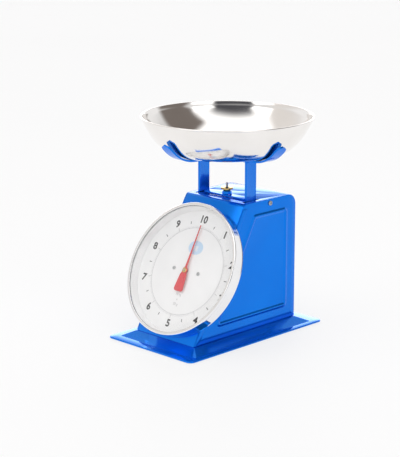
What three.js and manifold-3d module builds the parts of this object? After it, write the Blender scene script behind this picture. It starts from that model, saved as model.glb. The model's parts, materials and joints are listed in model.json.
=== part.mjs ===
// Bench-top dial spring scale with a lift-off bowl.
// Millimetres, +Z up. The column of two posts stands at x = 0, y = 0 inside the model group;
// the exported group is shifted in Y so that its bounding box is centred on the origin.
// -Y is the front, where the dial is. In dial groups local +X is world +X, local +Y runs up
// the sloping front and local +Z points out of the dial towards the reader.
import * as THREE from 'three';
import { mergeVertices } from 'three/addons/utils/BufferGeometryUtils.js';
import Module from 'manifold-3d';

const wasm = await Module();
wasm.setup();

// ---------- driving dimensions ----------
const gap = 0.3; // clearance between pieces that sit against each other

// pressed base
const baseMarginSide = 30.35; // base edge beyond the housing
const baseMarginFront = 37.4;
const baseMarginRear = 38.8;
const baseTopZ = 12;
const baseSheet = 1.2;
const rimTopZ = 3.6;
const lipBottomZ = 1.2;
const rimWidthSide = 9.5;
const rimWidthEnd = 16;
const baseLedge = 0.9; // flat strip left around the housing
const baseCornerRadius = 10;
const rimCornerRadius = 8;
const crownCornerRadius = 3;
const rimEdgeRadius = 0.8;

// housing
const housingWidth = 130.3;
const housingTopReach = 27.6; // top sheet forwards of the column axis
const housingHeadroom = 17.7; // top sheet above the spring beam
const housingRearClearance = 8.92; // rear edge behind the chassis uprights
const housingSheet = 1;
const frontSlope = THREE.MathUtils.degToRad(28.5); // front sheet, from vertical
const frontFoldRadius = 8;
const rearFoldRadius = 18;
const rearFlangeDrop = 34; // how far the top sheet is folded down at the rear
const rearCoverOverlap = 11; // cover's top edge inside that fold
const rearCoverFoot = 6; // flange that stands on the base
const rodHoleClearance = 0.5;

// sheet-metal screws
const screwHeadRadius = 4;
const screwHeadHeight = 2.2;
const screwShankRadius = 1.8;
const screwShankLength = 7;
const sideScrewY = 32.3;
const sideScrewDrop = 6.8; // below the top sheet
const rearScrewInset = 12; // from the shell's edge
const rearScrewRise = 5.5; // above the end of the rear fold

// embossed bead on the side panels, measured from the panel's edges
const beadInsetFront = 32;
const beadInsetTop = 23.5;
const beadInsetRear = 24;
const beadInsetBottom = 25.5;
const beadWidth = 4.5;
const beadHeight = 1;
const beadCornerRadius = 5;

// rubber feet
const footRadius = 9;
const footInset = 14; // from the housing's outline

// dial
const dialRadius = 110.9; // outermost edge of the bezel
const dialDepth = 23.2; // bezel front above the front sheet
const dialAboveBase = 2.04; // lowest point of the bezel's foot above the base
const dialSheet = 1;
const dialRollWidth = 2.9; // rolled edge outside the bezel's wall
const dialLipWidth = 3; // lip inside the wall, over the glass
const dialPlateClearance = 6.5; // wall to the printed plate
const dialSightInset = 2.5; // plate edge to the foot of the inner ring
const dialPlateLevel = 5.2;
const dialPlateThickness = 0.8;
const dialPlateBore = 4;
const panBore = 12;
const lipDepth = 1.8; // bezel front to the underside of its lip
const innerRingSheet = 0.8;
const glassThickness = 1.5;
const dialScrewOffset = 27;
const dialScrewShank = 1.2;

// pointer and its drive
const pointerLength = 76;
const pointerTail = 35;
const pointerLevel = 9;
const pointerThickness = 0.8;
const spindleRadius = 1.5;
const sleeveWall = 0.7; // pointer hub's sleeve
const bushCollar = 1.5; // bush wall in the bracket
const pinionModule = 0.5;
const pinionTeeth = 14;
const toothThicknessShare = 0.34; // tooth thickness at the pitch line over the pitch
const pressureAngle = THREE.MathUtils.degToRad(20);
const spareRackTeeth = 3;
const rackThickness = 1.5;
const rackBack = 6.2; // solid width behind the rack's teeth
const rackTang = 9; // plain length above the rack's teeth
const rackLevel = -17; // middle of the rack's thickness, behind the front sheet
const bracketDepth = 36.8;
const bracketHalf = 15.5;
const bracketSheet = 1.5;
const bracketFlange = 10;

// column
const postInset = 12.85; // post's middle plane inside the housing's side
const postWidth = 23.3;
const postThickness = 3;
const postBelowCrossbar = 4;
const postFootLength = 26;
const postBendRadius = 5;
const slotEndClearance = 6.35;
const slotSideClearance = 1.3;

// crossbars between the posts
const crossbarHeight = 18;
const crossbarSheet = 2.5;
const crossbarAboveAxis = 22.5; // lower crossbar above the dial axis
const crossbarPitch = 44;
const crossbarCheek = 6; // how far the folded ends reach forwards
const crossbarScrewShank = 7.5;
const lugReach = 6; // lug beyond the link pin
const lugHeight = 12;

// guide links
const linkLength = 60;
const linkWidth = 60;
const linkPinY = 21;
const lugClearance = 3.5; // link side to the middle of the lug
const pinRadius = 2;
const pinClearance = 0.35;
const linkWall = 2; // metal round the eyes
const uprightOffset = 7; // link side to the middle of the upright
const uprightDepth = 12;
const uprightSheet = 2.5;

// bowl and its seat
const bowlRadius = 140;
const bowlDepth = 61.6;
const bowlFlatRadius = 62;
const bowlWall = 0.8;
const bowlBeadRadius = 1.5;
const bowlStandOff = 71.3; // bowl bottom above the housing
const seatThickness = 3;
const seatWidth = 22;
const seatInset = 10; // arm ends inside the bowl's rim
const seatTurn = THREE.MathUtils.degToRad(-5);
const seatSpread = 4.6; // distance of the arm tips from the bowl
const rivetRadius = 2.2;
const rivetHeadRadius = 3.8;
const rivetHeadHeight = 1.6;
const rivetInsets = { inner: 21.8, outer: 11.8 }; // from the post's outer face

// zero adjustment
const strapWidth = 15;
const strapThickness = 2.8;
const strapEndClearance = 6;
const bossRadius = 8;
const bossHeight = 5.6;
const nutRadius = 10.2;
const nutHeight = 6;
const rodRadius = 2.4;
const rodHeadRadius = 4.2;
const rodHeadHeight = 3.6;
const rodStandOff = 7.5; // rod end above the nut
const beamAboveCrossbar = 4;
const springBeamHeight = 5;
const springBeamDepth = 13;
const springSpread = 26;
const springRadius = 6.6;
const springWire = 1.9;
const springTurns = 9;
const springHoleClearance = 0.4;

// ---------- derived places ----------
const slopeRun = Math.tan(frontSlope);
const dialAxisHeight = baseTopZ + dialAboveBase + dialRadius * Math.cos(frontSlope);
const pinionPitchRadius = (pinionModule * pinionTeeth) / 2;
const rackTeeth = pinionTeeth + spareRackTeeth;
const loadTravel = (2 * Math.PI * pinionPitchRadius) / Math.cos(frontSlope);
const linkSwing = Math.asin(loadTravel / 2 / linkLength);
const lowerCrossbarZ = dialAxisHeight + crossbarAboveAxis;
const upperCrossbarZ = lowerCrossbarZ + crossbarPitch;
const springBeamZ = upperCrossbarZ + crossbarHeight + beamAboveCrossbar;
const chassisPinY = linkPinY + linkLength * Math.cos(linkSwing);

const housingTopZ = springBeamZ + springBeamHeight + housingHeadroom;
const housingFloorZ = baseTopZ + gap;
const housingFrontReach = housingTopReach + (housingTopZ - baseTopZ) * slopeRun;
const housingRearReach = chassisPinY + uprightDepth / 2 + housingRearClearance;
const shellHalf = housingWidth / 2 - housingSheet - gap;
const dialAxisReach = housingFrontReach - (dialAxisHeight - baseTopZ) * slopeRun;
const coverTop = housingTopZ - rearFlangeDrop + rearCoverOverlap;
const coverOuterY = housingRearReach - housingSheet - gap;
const rearScrewX = shellHalf - rearScrewInset;
const rearScrewZ = housingTopZ - rearFlangeDrop + rearScrewRise;
const sideScrewZ = housingTopZ - sideScrewDrop;

const baseWidth = housingWidth + 2 * baseMarginSide;
const baseFrontReach = housingFrontReach + baseMarginFront;
const baseRearReach = housingRearReach + baseMarginRear;

const dialWallRadius = dialRadius - dialRollWidth;
const dialWallInner = dialWallRadius - dialSheet;
const dialLipRadius = dialWallRadius - dialLipWidth;
const dialPlateRadius = dialWallRadius - dialPlateClearance;
const dialSightRadius = dialPlateRadius - dialSightInset;
const dialPlateTop = dialPlateLevel + dialPlateThickness;
const lipUnder = dialDepth - lipDepth;
const glassTop = lipUnder - gap;
const glassBottom = glassTop - glassThickness;

const bowlBottomZ = housingTopZ + bowlStandOff;
const seatReach = bowlRadius - seatInset;
const seatTopZ = bowlBottomZ - gap;
const seatBottomZ = seatTopZ - seatThickness;
const postSpread = housingWidth / 2 - postInset;
const postTopZ = seatBottomZ - gap;
const postBottomZ = lowerCrossbarZ - postBelowCrossbar;
const postOuter = postSpread + postThickness / 2;
const postInner = postSpread - postThickness / 2;
const rivetX = Object.values(rivetInsets).map((inset) => postOuter - inset);
const crossbarRear = postWidth / 2;
const uprightX = linkWidth / 2 + uprightOffset;
const bushBore = spindleRadius + gap;
const sleeveRadius = bushBore + sleeveWall;
const hubHeadRadius = sleeveRadius + 1.7;
const bushNeckRadius = bushBore + bushCollar;
const bushBodyRadius = bushNeckRadius + 1.7;

const strapBottomZ = housingTopZ + gap;
const strapTopZ = strapBottomZ + strapThickness;
const nutBottomZ = strapTopZ + bossHeight + gap;
const rodTopZ = nutBottomZ + nutHeight + rodStandOff;
const frameShiftY = (baseFrontReach - bowlRadius) / 2;

// ---------- finishes ----------
const finish = {
  bluePaint: { color: 0x0b52cf, roughness: 0.25, metalness: 0.1 },
  stainless: { color: 0xc9c7c4, roughness: 0.12, metalness: 1 },
  chrome: { color: 0xe2e2e4, roughness: 0.08, metalness: 1 },
  steel: { color: 0xa8aaad, roughness: 0.35, metalness: 1 },
  brass: { color: 0xc9a24a, roughness: 0.3, metalness: 1 },
  dialWhite: { color: 0xf4f4f2, roughness: 0.5, metalness: 0 },
  pointerRed: { color: 0xd5343c, roughness: 0.4, metalness: 0 },
  glass: { color: 0xffffff, roughness: 0.03, metalness: 0, transparent: true, opacity: 0.2 },
  rubber: { color: 0x202022, roughness: 0.8, metalness: 0 },
};

// ---------- general helpers ----------
const quarter = Math.PI / 2;
const flat = [0, 0, 0]; // profile in XY, thickness along +Z
const sideways = [quarter, quarter, 0]; // profile in YZ, thickness along +X
const facing = [quarter, 0, 0]; // profile in XZ, thickness along -Y
const inclined = [quarter - frontSlope, 0, 0]; // local Z along the dial axis

function solidOf(geometry) {
  const bare = geometry.clone();
  bare.deleteAttribute('normal');
  bare.deleteAttribute('uv');
  const merged = mergeVertices(bare, 1e-4);
  return new wasm.Manifold(new wasm.Mesh({
    numProp: 3,
    vertProperties: merged.attributes.position.array,
    triVerts: new Uint32Array(merged.index.array),
  }));
}

function geometryOf(solid) {
  const mesh = solid.getMesh();
  const geometry = new THREE.BufferGeometry();
  const positions = new Float32Array(mesh.vertProperties);
  geometry.setAttribute('position', new THREE.BufferAttribute(positions, 3));
  geometry.setIndex(new THREE.BufferAttribute(new Uint32Array(mesh.triVerts), 1));
  const loose = geometry.toNonIndexed();
  loose.computeVertexNormals();
  return loose;
}

function cut(geometry, ...tools) {
  return geometryOf(tools.reduce((rest, tool) => rest.subtract(solidOf(tool)), solidOf(geometry)));
}

function join(geometry, ...others) {
  return geometryOf(others.reduce((sum, other) => sum.add(solidOf(other)), solidOf(geometry)));
}

function moved(geometry, position, rotation = flat) {
  const matrix = new THREE.Matrix4().compose(
    new THREE.Vector3(...position),
    new THREE.Quaternion().setFromEuler(new THREE.Euler(...rotation)),
    new THREE.Vector3(1, 1, 1),
  );
  return geometry.clone().applyMatrix4(matrix);
}

function part(parent, name, geometry, look, position = [0, 0, 0], rotation = flat) {
  const mesh = new THREE.Mesh(geometry, new THREE.MeshStandardMaterial(finish[look]));
  mesh.name = name;
  mesh.position.set(...position);
  mesh.rotation.set(...rotation);
  parent.add(mesh);
}

function box(sizeX, sizeY, sizeZ, centre = [0, 0, 0]) {
  return new THREE.BoxGeometry(sizeX, sizeY, sizeZ).translate(...centre);
}

// A cylinder along +Z from z = from to z = to.
function drum(radius, from, to, segments = 24) {
  return new THREE.CylinderGeometry(radius, radius, to - from, segments)
    .rotateX(quarter)
    .translate(0, 0, (from + to) / 2);
}

// A turned piece about Z from [radius, z] points that start and end on the axis or close on themselves.
function turned(profile, segments = 24) {
  const points = profile.map(([radius, z]) => new THREE.Vector2(radius, z));
  return new THREE.LatheGeometry(points, segments).rotateX(quarter);
}

function ring(profile, segments) {
  return turned([...profile, profile[0]], segments);
}

function shapeOf(points) {
  return new THREE.Shape(points.map(([x, y]) => new THREE.Vector2(x, y)));
}

function circlePoints(radius, segments) {
  return Array.from({ length: segments }, (_, index) => {
    const angle = (2 * Math.PI * index) / segments;
    return new THREE.Vector2(radius * Math.cos(angle), radius * Math.sin(angle));
  });
}

// A sheet or bar of the given outline, centred across its depth.
function slab(shape, depth, curveSegments = 12) {
  return new THREE.ExtrudeGeometry(shape, { depth, bevelEnabled: false, curveSegments })
    .translate(0, 0, -depth / 2);
}

// The points of a polyline whose corners [x, y, radius] are rounded.
function roundedPath(corners, steps = 5) {
  const points = [];
  corners.forEach(([x, y, radius = 0], index) => {
    if (!radius) {
      points.push([x, y]);
      return;
    }
    const corner = new THREE.Vector2(x, y);
    const before = new THREE.Vector2(...corners[index - 1]).sub(corner).normalize();
    const after = new THREE.Vector2(...corners[index + 1]).sub(corner).normalize();
    const half = Math.acos(THREE.MathUtils.clamp(before.dot(after), -1, 1)) / 2;
    const reach = radius / Math.tan(half);
    const inward = before.clone().add(after).normalize();
    const centre = corner.clone().addScaledVector(inward, radius / Math.sin(half));
    const start = corner.clone().addScaledVector(before, reach).sub(centre);
    const turn = Math.PI - 2 * half;
    const side = Math.sign(before.cross(after));
    for (let step = 0; step <= steps; step += 1) {
      const angle = (-side * turn * step) / steps;
      const arm = start.clone().rotateAround(new THREE.Vector2(), angle);
      points.push([centre.x + arm.x, centre.y + arm.y]);
    }
  });
  return points;
}

// The same polyline moved to its left by the given distance.
function offsetPath(points, distance) {
  return points.map((point, index) => {
    const here = new THREE.Vector2(...point);
    const last = points.length - 1;
    const previous = new THREE.Vector2(...points[Math.max(index - 1, 0)]);
    const next = new THREE.Vector2(...points[Math.min(index + 1, last)]);
    const inDirection = here.clone().sub(previous).normalize();
    const outDirection = next.clone().sub(here).normalize();
    if (index === 0) inDirection.copy(outDirection);
    if (index === last) outDirection.copy(inDirection);
    const normalIn = new THREE.Vector2(-inDirection.y, inDirection.x);
    const normalOut = new THREE.Vector2(-outDirection.y, outDirection.x);
    const mitre = normalIn.add(normalOut);
    mitre.multiplyScalar(2 / mitre.lengthSq());
    return [here.x + mitre.x * distance, here.y + mitre.y * distance];
  });
}

// A bent strip: the path is one face, and the metal lies to the path's left (thickness > 0).
function bentStrip(points, thickness, width) {
  const inner = offsetPath(points, thickness).reverse();
  const outline = [...points, ...inner];
  const counterClockwise = THREE.ShapeUtils.area(outline.map(([x, y]) => ({ x, y }))) > 0;
  return slab(shapeOf(counterClockwise ? outline : outline.reverse()), width);
}

// ---------- base ----------
function roundedLoop({ half, front, rear, z, radius }, steps = 5) {
  const centres = [
    [half - radius, rear - radius, 0],
    [-half + radius, rear - radius, quarter],
    [-half + radius, -front + radius, 2 * quarter],
    [half - radius, -front + radius, 3 * quarter],
  ];
  return centres.flatMap(([x, y, start]) => Array.from({ length: steps + 1 }, (_, step) => {
    const angle = start + (quarter * step) / steps;
    return [x + radius * Math.cos(angle), y + radius * Math.sin(angle), z];
  }));
}

// A closed skin through loops of equal point counts, with both ends capped by fans.
function loft(loops) {
  const count = loops[0].length;
  const vertices = loops.flat();
  const triangles = [];
  for (let row = 0; row < loops.length - 1; row += 1) {
    for (let column = 0; column < count; column += 1) {
      const a = row * count + column;
      const b = row * count + ((column + 1) % count);
      triangles.push(a, a + count, b, b, a + count, b + count);
    }
  }
  const lastStart = (loops.length - 1) * count;
  for (let column = 1; column < count - 1; column += 1) {
    triangles.push(0, column, column + 1);
    triangles.push(lastStart, lastStart + column + 1, lastStart + column);
  }
  const geometry = new THREE.BufferGeometry();
  geometry.setAttribute('position', new THREE.Float32BufferAttribute(vertices.flat(), 3));
  geometry.setIndex(triangles);
  return geometry.toNonIndexed();
}

function basePlateGeometry() {
  const outer = { half: baseWidth / 2, front: baseFrontReach, rear: baseRearReach };
  const shrink = (outline, side, end) => ({
    half: outline.half - side,
    front: outline.front - end,
    rear: outline.rear - end,
  });
  const rim = shrink(outer, rimWidthSide, rimWidthEnd);
  const crown = {
    half: housingWidth / 2 + baseLedge,
    front: housingFrontReach + baseLedge,
    rear: housingRearReach + baseLedge,
  };
  const thin = shrink(outer, baseSheet, baseSheet);
  const eased = shrink(outer, rimEdgeRadius, rimEdgeRadius);
  return loft([
    roundedLoop({ ...crown, z: baseTopZ, radius: crownCornerRadius }),
    roundedLoop({ ...rim, z: rimTopZ, radius: rimCornerRadius }),
    roundedLoop({ ...eased, z: rimTopZ, radius: baseCornerRadius - rimEdgeRadius }),
    roundedLoop({ ...outer, z: rimTopZ - rimEdgeRadius, radius: baseCornerRadius }),
    roundedLoop({ ...outer, z: lipBottomZ, radius: baseCornerRadius }),
    roundedLoop({ ...thin, z: lipBottomZ, radius: baseCornerRadius - baseSheet }),
    roundedLoop({ ...thin, z: rimTopZ - baseSheet, radius: baseCornerRadius - baseSheet }),
    roundedLoop({ ...rim, z: rimTopZ - baseSheet, radius: rimCornerRadius }),
    roundedLoop({ ...crown, z: baseTopZ - baseSheet, radius: crownCornerRadius }),
  ]);
}

function addBase(parent) {
  part(parent, 'base_plate', basePlateGeometry(), 'bluePaint');
  const footTop = baseTopZ - baseSheet - gap;
  const foot = turned([
    [0, 0], [footRadius - 2, 0], [footRadius - 1, 1.2],
    [footRadius, footTop - 1], [footRadius, footTop], [0, footTop],
  ], 16);
  const footX = housingWidth / 2 - footInset;
  const places = {
    front: -housingFrontReach + footInset,
    rear: housingRearReach - footInset,
  };
  for (const [end, y] of Object.entries(places)) {
    part(parent, `foot_${end}_left`, foot, 'rubber', [-footX, y, 0]);
    part(parent, `foot_${end}_right`, foot, 'rubber', [footX, y, 0]);
  }
}

// ---------- housing ----------
// The housing's side outline in (y, z), from the front foot over the top to the rear.
function housingOutline(rearEndZ) {
  const frontFootY = -housingFrontReach + (housingFloorZ - baseTopZ) * slopeRun;
  return roundedPath([
    [frontFootY, housingFloorZ],
    [-housingTopReach, housingTopZ, frontFoldRadius],
    [housingRearReach, housingTopZ, rearFoldRadius],
    [housingRearReach, rearEndZ],
  ], 6);
}

function bodyShellGeometry() {
  const [foot, ...rest] = housingOutline(housingTopZ - rearFlangeDrop);
  const below = [foot[0] - 2 * housingSheet * slopeRun, foot[1] - 2 * housingSheet];
  const strip = bentStrip([below, ...rest], -housingSheet, 2 * shellHalf);
  const shell = moved(strip, [0, 0, 0], sideways);
  const slotWidth = postThickness + 2 * slotSideClearance;
  const slotLength = postWidth + 2 * slotEndClearance;
  const slots = [-1, 1].map((side) => (
    box(slotWidth, slotLength, 20, [side * postSpread, 0, housingTopZ])
  ));
  const rodHole = moved(drum(rodRadius + rodHoleClearance, -5, 5), [0, 0, housingTopZ]);
  const bushHole = moved(drum(bushBodyRadius + gap, -5, 5), [0, -dialAxisReach, dialAxisHeight], inclined);
  const underFloor = box(housingWidth, 4 * housingFrontReach, 10, [0, 0, housingFloorZ - 5]);
  return cut(shell, ...slots, rodHole, bushHole, underFloor, ...rearScrewHoles());
}

function beadOutline(extra) {
  const sin = Math.cos(frontSlope);
  const bottomZ = baseTopZ + beadInsetBottom - extra;
  const topZ = housingTopZ - beadInsetTop + extra;
  const rearY = housingRearReach - beadInsetRear + extra;
  const frontY = (z) => -housingFrontReach + (z - baseTopZ) * slopeRun + (beadInsetFront - extra) / sin;
  const radius = beadCornerRadius + extra;
  const loop = [
    [frontY((bottomZ + topZ) / 2), (bottomZ + topZ) / 2],
    [frontY(topZ), topZ, radius],
    [rearY, topZ, radius],
    [rearY, bottomZ, radius],
    [frontY(bottomZ), bottomZ, radius],
    [frontY((bottomZ + topZ) / 2), (bottomZ + topZ) / 2],
  ];
  return roundedPath(loop, 3).slice(0, -1).reverse();
}

function sidePanelGeometry() {
  const outline = [...housingOutline(housingFloorZ)].reverse();
  const panel = slab(shapeOf(outline), housingSheet);
  const bead = shapeOf(beadOutline(beadWidth / 2));
  bead.holes.push(new THREE.Path(beadOutline(-beadWidth / 2).map(([y, z]) => new THREE.Vector2(y, z))));
  const raised = slab(bead, beadHeight).translate(0, 0, (housingSheet + beadHeight) / 2 - 0.2);
  const screwHole = drum(screwShankRadius + gap, -2, 2, 16).translate(sideScrewY, sideScrewZ, 0);
  return cut(join(panel, raised), screwHole);
}

function screwGeometry(headRadius, headHeight, shankRadius, shankLength) {
  return turned([
    [0, -shankLength], [shankRadius, -shankLength], [shankRadius, 0], [headRadius, 0],
    [headRadius, headHeight * 0.55], [headRadius * 0.7, headHeight], [0, headHeight],
  ], 12);
}

function housingScrew() {
  return screwGeometry(screwHeadRadius, screwHeadHeight, screwShankRadius, screwShankLength);
}

function addHousing(parent) {
  part(parent, 'body_shell', bodyShellGeometry(), 'bluePaint');
  const panelX = (housingWidth - housingSheet) / 2;
  const panel = sidePanelGeometry();
  const mirrored = geometryOf(solidOf(panel).mirror([0, 0, 1]));
  part(parent, 'side_panel_right', panel, 'bluePaint', [panelX, 0, 0], sideways);
  part(parent, 'side_panel_left', mirrored, 'bluePaint', [-panelX, 0, 0], sideways);
  const sideScrew = housingScrew();
  const screwX = housingWidth / 2 + gap;
  part(parent, 'side_screw_right', sideScrew, 'steel', [screwX, sideScrewY, sideScrewZ], [0, quarter, 0]);
  part(parent, 'side_screw_left', sideScrew, 'steel', [-screwX, sideScrewY, sideScrewZ], [0, -quarter, 0]);
}

function addRearCover(parent) {
  const path = [
    [coverOuterY, coverTop],
    [coverOuterY, housingFloorZ],
    [coverOuterY - rearCoverFoot, housingFloorZ],
  ];
  const sheet = moved(bentStrip(path, -housingSheet, 2 * shellHalf - 2), [0, 0, 0], sideways);
  part(parent, 'rear_cover', cut(sheet, ...rearScrewHoles()), 'bluePaint');
  const screw = housingScrew();
  const screwY = housingRearReach + gap;
  part(parent, 'rear_screw_left', screw, 'steel', [-rearScrewX, screwY, rearScrewZ], [-quarter, 0, 0]);
  part(parent, 'rear_screw_right', screw, 'steel', [rearScrewX, screwY, rearScrewZ], [-quarter, 0, 0]);
}

function rearScrewHoles() {
  return [-rearScrewX, rearScrewX].map((x) => (
    moved(drum(screwShankRadius + gap, -8, 8, 16), [x, coverOuterY, rearScrewZ], facing)
  ));
}

// ---------- dial ----------
function bezelGeometry() {
  const rollStart = dialDepth - 5;
  return ring([
    [dialWallRadius, gap], [dialWallRadius, rollStart], [dialWallRadius + 1.2, rollStart + 0.6],
    [dialRadius, dialDepth - 2.6], [dialRadius, dialDepth - 1.6], [dialRadius - 1.1, dialDepth - 0.3],
    [dialWallRadius, dialDepth], [dialLipRadius + 1, dialDepth - 0.3],
    [dialLipRadius, dialDepth - 1], [dialLipRadius, lipUnder],
    [dialWallInner, lipUnder], [dialWallInner, gap],
  ], 48);
}

function panGeometry() {
  const top = dialPlateLevel - gap;
  const outer = dialWallInner - 0.4;
  const shoulder = dialSightRadius - 17;
  const foot = dialSightRadius - 10;
  return ring([
    [panBore, top], [panBore, top - 1], [shoulder, top - 1], [foot, gap],
    [outer, gap], [outer, gap + 1], [foot + 0.5, gap + 1], [shoulder + 1, top],
  ], 48);
}

function innerRingGeometry() {
  const top = glassBottom - gap;
  const bottom = dialPlateTop + gap;
  const sheet = innerRingSheet;
  const outer = dialWallInner - gap;
  return ring([
    [dialSightRadius, bottom], [dialSightRadius + 3, bottom], [dialSightRadius + 3, bottom + sheet],
    [dialSightRadius + sheet, bottom + sheet], [dialLipRadius, top - sheet],
    [outer, top - sheet], [outer, top], [dialLipRadius - sheet, top],
  ], 48);
}

function dialScrewHoles() {
  return [-dialScrewOffset, dialScrewOffset].map((x) => (
    drum(dialScrewShank + gap, -1, 8, 12).translate(x, 0, 0)
  ));
}

function addDial(parent) {
  const face = new THREE.Group();
  face.position.set(0, -dialAxisReach, dialAxisHeight);
  face.rotation.set(...inclined);
  parent.add(face);
  part(face, 'dial_pan', cut(panGeometry(), ...dialScrewHoles()), 'steel');
  const plate = ring([
    [dialPlateBore, dialPlateLevel], [dialPlateRadius, dialPlateLevel],
    [dialPlateRadius, dialPlateTop], [dialPlateBore, dialPlateTop],
  ], 48);
  part(face, 'dial_plate', cut(plate, ...dialScrewHoles()), 'dialWhite');
  part(face, 'dial_inner_ring', innerRingGeometry(), 'chrome');
  part(face, 'dial_glass', drum(dialWallInner - gap, glassBottom, glassTop, 48), 'glass');
  part(face, 'bezel_ring', bezelGeometry(), 'chrome');
  const dialScrew = screwGeometry(3, 1.5, dialScrewShank, 5);
  const screwLevel = dialPlateTop + gap;
  part(face, 'dial_screw_left', dialScrew, 'steel', [-dialScrewOffset, 0, screwLevel]);
  part(face, 'dial_screw_right', dialScrew, 'steel', [dialScrewOffset, 0, screwLevel]);
  return face;
}

// ---------- spindle bracket and bushes, behind the front sheet ----------
function addSpindleSupport(face) {
  const backOfFront = -housingSheet - gap;
  const path = [
    [-bracketHalf - bracketFlange, backOfFront], [-bracketHalf, backOfFront],
    [-bracketHalf, -bracketDepth], [bracketHalf, -bracketDepth],
    [bracketHalf, backOfFront], [bracketHalf + bracketFlange, backOfFront],
  ];
  const hat = moved(bentStrip(path, -bracketSheet, 14), [0, 0, 0], facing);
  const rearHole = drum(bushNeckRadius + gap, -bracketDepth - 4, -bracketDepth + 4);
  part(face, 'spindle_bracket', cut(hat, rearHole), 'steel');

  part(face, 'spindle_bush_front', ring([
    [bushBore, -4], [bushBodyRadius, -4], [bushBodyRadius, gap], [bushBodyRadius + 3.5, gap],
    [bushBodyRadius + 3.5, gap + 1], [bushNeckRadius, gap + 1], [bushNeckRadius, 4.5],
    [bushBore, 4.5],
  ], 24), 'brass');
  const seat = -bracketDepth - bracketSheet - gap;
  part(face, 'spindle_bush_rear', ring([
    [bushBore, seat - 2.4], [bushBodyRadius, seat - 2.4], [bushBodyRadius, seat],
    [bushNeckRadius, seat], [bushNeckRadius, seat + 4.4], [bushBore, seat + 4.4],
  ], 24), 'brass');
}

// ---------- pointer, spindle and pinion ----------
function pointerGeometry() {
  const outline = [
    [-2.6, 0], [-6.6, -9], [-9.6, -pointerTail + 5], [-8, -pointerTail + 1.2], [-4.5, -pointerTail],
    [4.5, -pointerTail], [8, -pointerTail + 1.2], [9.6, -pointerTail + 5], [6.6, -9], [2.6, 0],
  ];
  const hub = drum(hubHeadRadius + 0.4, 0, pointerThickness, 24);
  const tail = slab(shapeOf(outline), pointerThickness).translate(0, 0, pointerThickness / 2);
  const needleOutline = [[2.4, 0], [0.5, pointerLength], [-0.5, pointerLength], [-2.4, 0]];
  const needle = slab(shapeOf(needleOutline), pointerThickness).translate(0, 0, pointerThickness / 2);
  return cut(join(hub, tail, needle), drum(sleeveRadius + gap, -1, 2, 24));
}

function pinionGeometry(from, to) {
  const pitch = Math.PI * pinionModule;
  const halfTooth = (toothThicknessShare * pitch) / 2;
  const tipRadius = pinionPitchRadius + 0.8 * pinionModule;
  const rootRadius = pinionPitchRadius - 1.25 * pinionModule;
  const lean = Math.tan(pressureAngle);
  const points = [];
  for (let tooth = 0; tooth < pinionTeeth; tooth += 1) {
    const angle = (2 * Math.PI * tooth) / pinionTeeth;
    const corner = (radius, side) => {
      const half = halfTooth - (radius - pinionPitchRadius) * lean;
      const turn = angle + (side * half) / radius;
      return [radius * Math.cos(turn), radius * Math.sin(turn)];
    };
    points.push(corner(rootRadius, -1), corner(tipRadius, -1), corner(tipRadius, 1), corner(rootRadius, 1));
  }
  const shape = shapeOf(points);
  shape.holes.push(new THREE.Path(circlePoints(bushBore, 20)));
  return slab(shape, to - from, 10).translate(0, 0, (from + to) / 2);
}

function addPointerDrive(face) {
  const spindleFront = pointerLevel + 3;
  const spindleBack = -bracketDepth - 6;
  part(face, 'spindle', drum(spindleRadius, spindleBack, spindleFront, 20), 'steel');
  const lean = loadTravel * Math.sin(frontSlope);
  const pinionFront = rackLevel + rackThickness / 2 + 1.5;
  const pinionBack = rackLevel - rackThickness / 2 - lean - 1.5;
  part(face, 'pinion', pinionGeometry(pinionBack, pinionFront), 'brass');
  const bladeTop = pointerLevel + pointerThickness;
  part(face, 'pointer_hub', ring([
    [bushBore, pointerLevel - 1.2], [sleeveRadius, pointerLevel - 1.2], [sleeveRadius, bladeTop + gap],
    [hubHeadRadius, bladeTop + gap], [hubHeadRadius, bladeTop + 1.3], [hubHeadRadius - 1, bladeTop + 2],
    [bushBore, bladeTop + 2],
  ], 24), 'brass');
  part(face, 'pointer', pointerGeometry(), 'pointerRed', [0, 0, pointerLevel]);
}

// ---------- rack and its bracket ----------
function rackGeometry() {
  const pitch = Math.PI * pinionModule;
  const halfTooth = (toothThicknessShare * pitch) / 2;
  const lean = Math.tan(pressureAngle);
  const tipX = pinionPitchRadius - 0.8 * pinionModule;
  const rootX = pinionPitchRadius + 1.25 * pinionModule;
  const halfTip = halfTooth - (pinionPitchRadius - tipX) * lean;
  const halfRoot = halfTooth + (rootX - pinionPitchRadius) * lean;
  const backX = rootX + rackBack;
  const firstTooth = -2.5 * pitch;
  const points = [[rootX, firstTooth - 2]];
  points.push([backX, firstTooth - 2]);
  points.push([backX, rackTopS()]);
  points.push([rootX, rackTopS()]);
  for (let tooth = rackTeeth + 1; tooth >= 0; tooth -= 1) {
    const middle = firstTooth + tooth * pitch;
    points.push([rootX, middle + halfRoot], [tipX, middle + halfTip]);
    points.push([tipX, middle - halfTip], [rootX, middle - halfRoot]);
  }
  return slab(shapeOf(points), rackThickness);
}

function rackTopS() {
  return rackTeeth * Math.PI * pinionModule + rackTang;
}

function dialPoint(up, out) {
  const y = -dialAxisReach + up * Math.sin(frontSlope) - out * Math.cos(frontSlope);
  const z = dialAxisHeight + up * Math.cos(frontSlope) + out * Math.sin(frontSlope);
  return [y, z];
}

function addRack(parent, face) {
  part(face, 'rack', rackGeometry(), 'brass', [0, 0, rackLevel]);
  const behindRack = rackLevel - rackThickness / 2 - gap;
  const armTopZ = lowerCrossbarZ - gap;
  const tabEnd = dialPoint(rackTopS() - rackTang, behindRack);
  const rise = (armTopZ - tabEnd[1]) / Math.cos(frontSlope);
  const bend = [tabEnd[0] + rise * Math.sin(frontSlope), armTopZ];
  const arm = bentStrip([[6, armTopZ], bend, tabEnd], 2, 6);
  const armX = pinionPitchRadius + 4.6;
  part(parent, 'rack_bracket', arm, 'steel', [armX, 0, 0], sideways);
}

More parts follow.
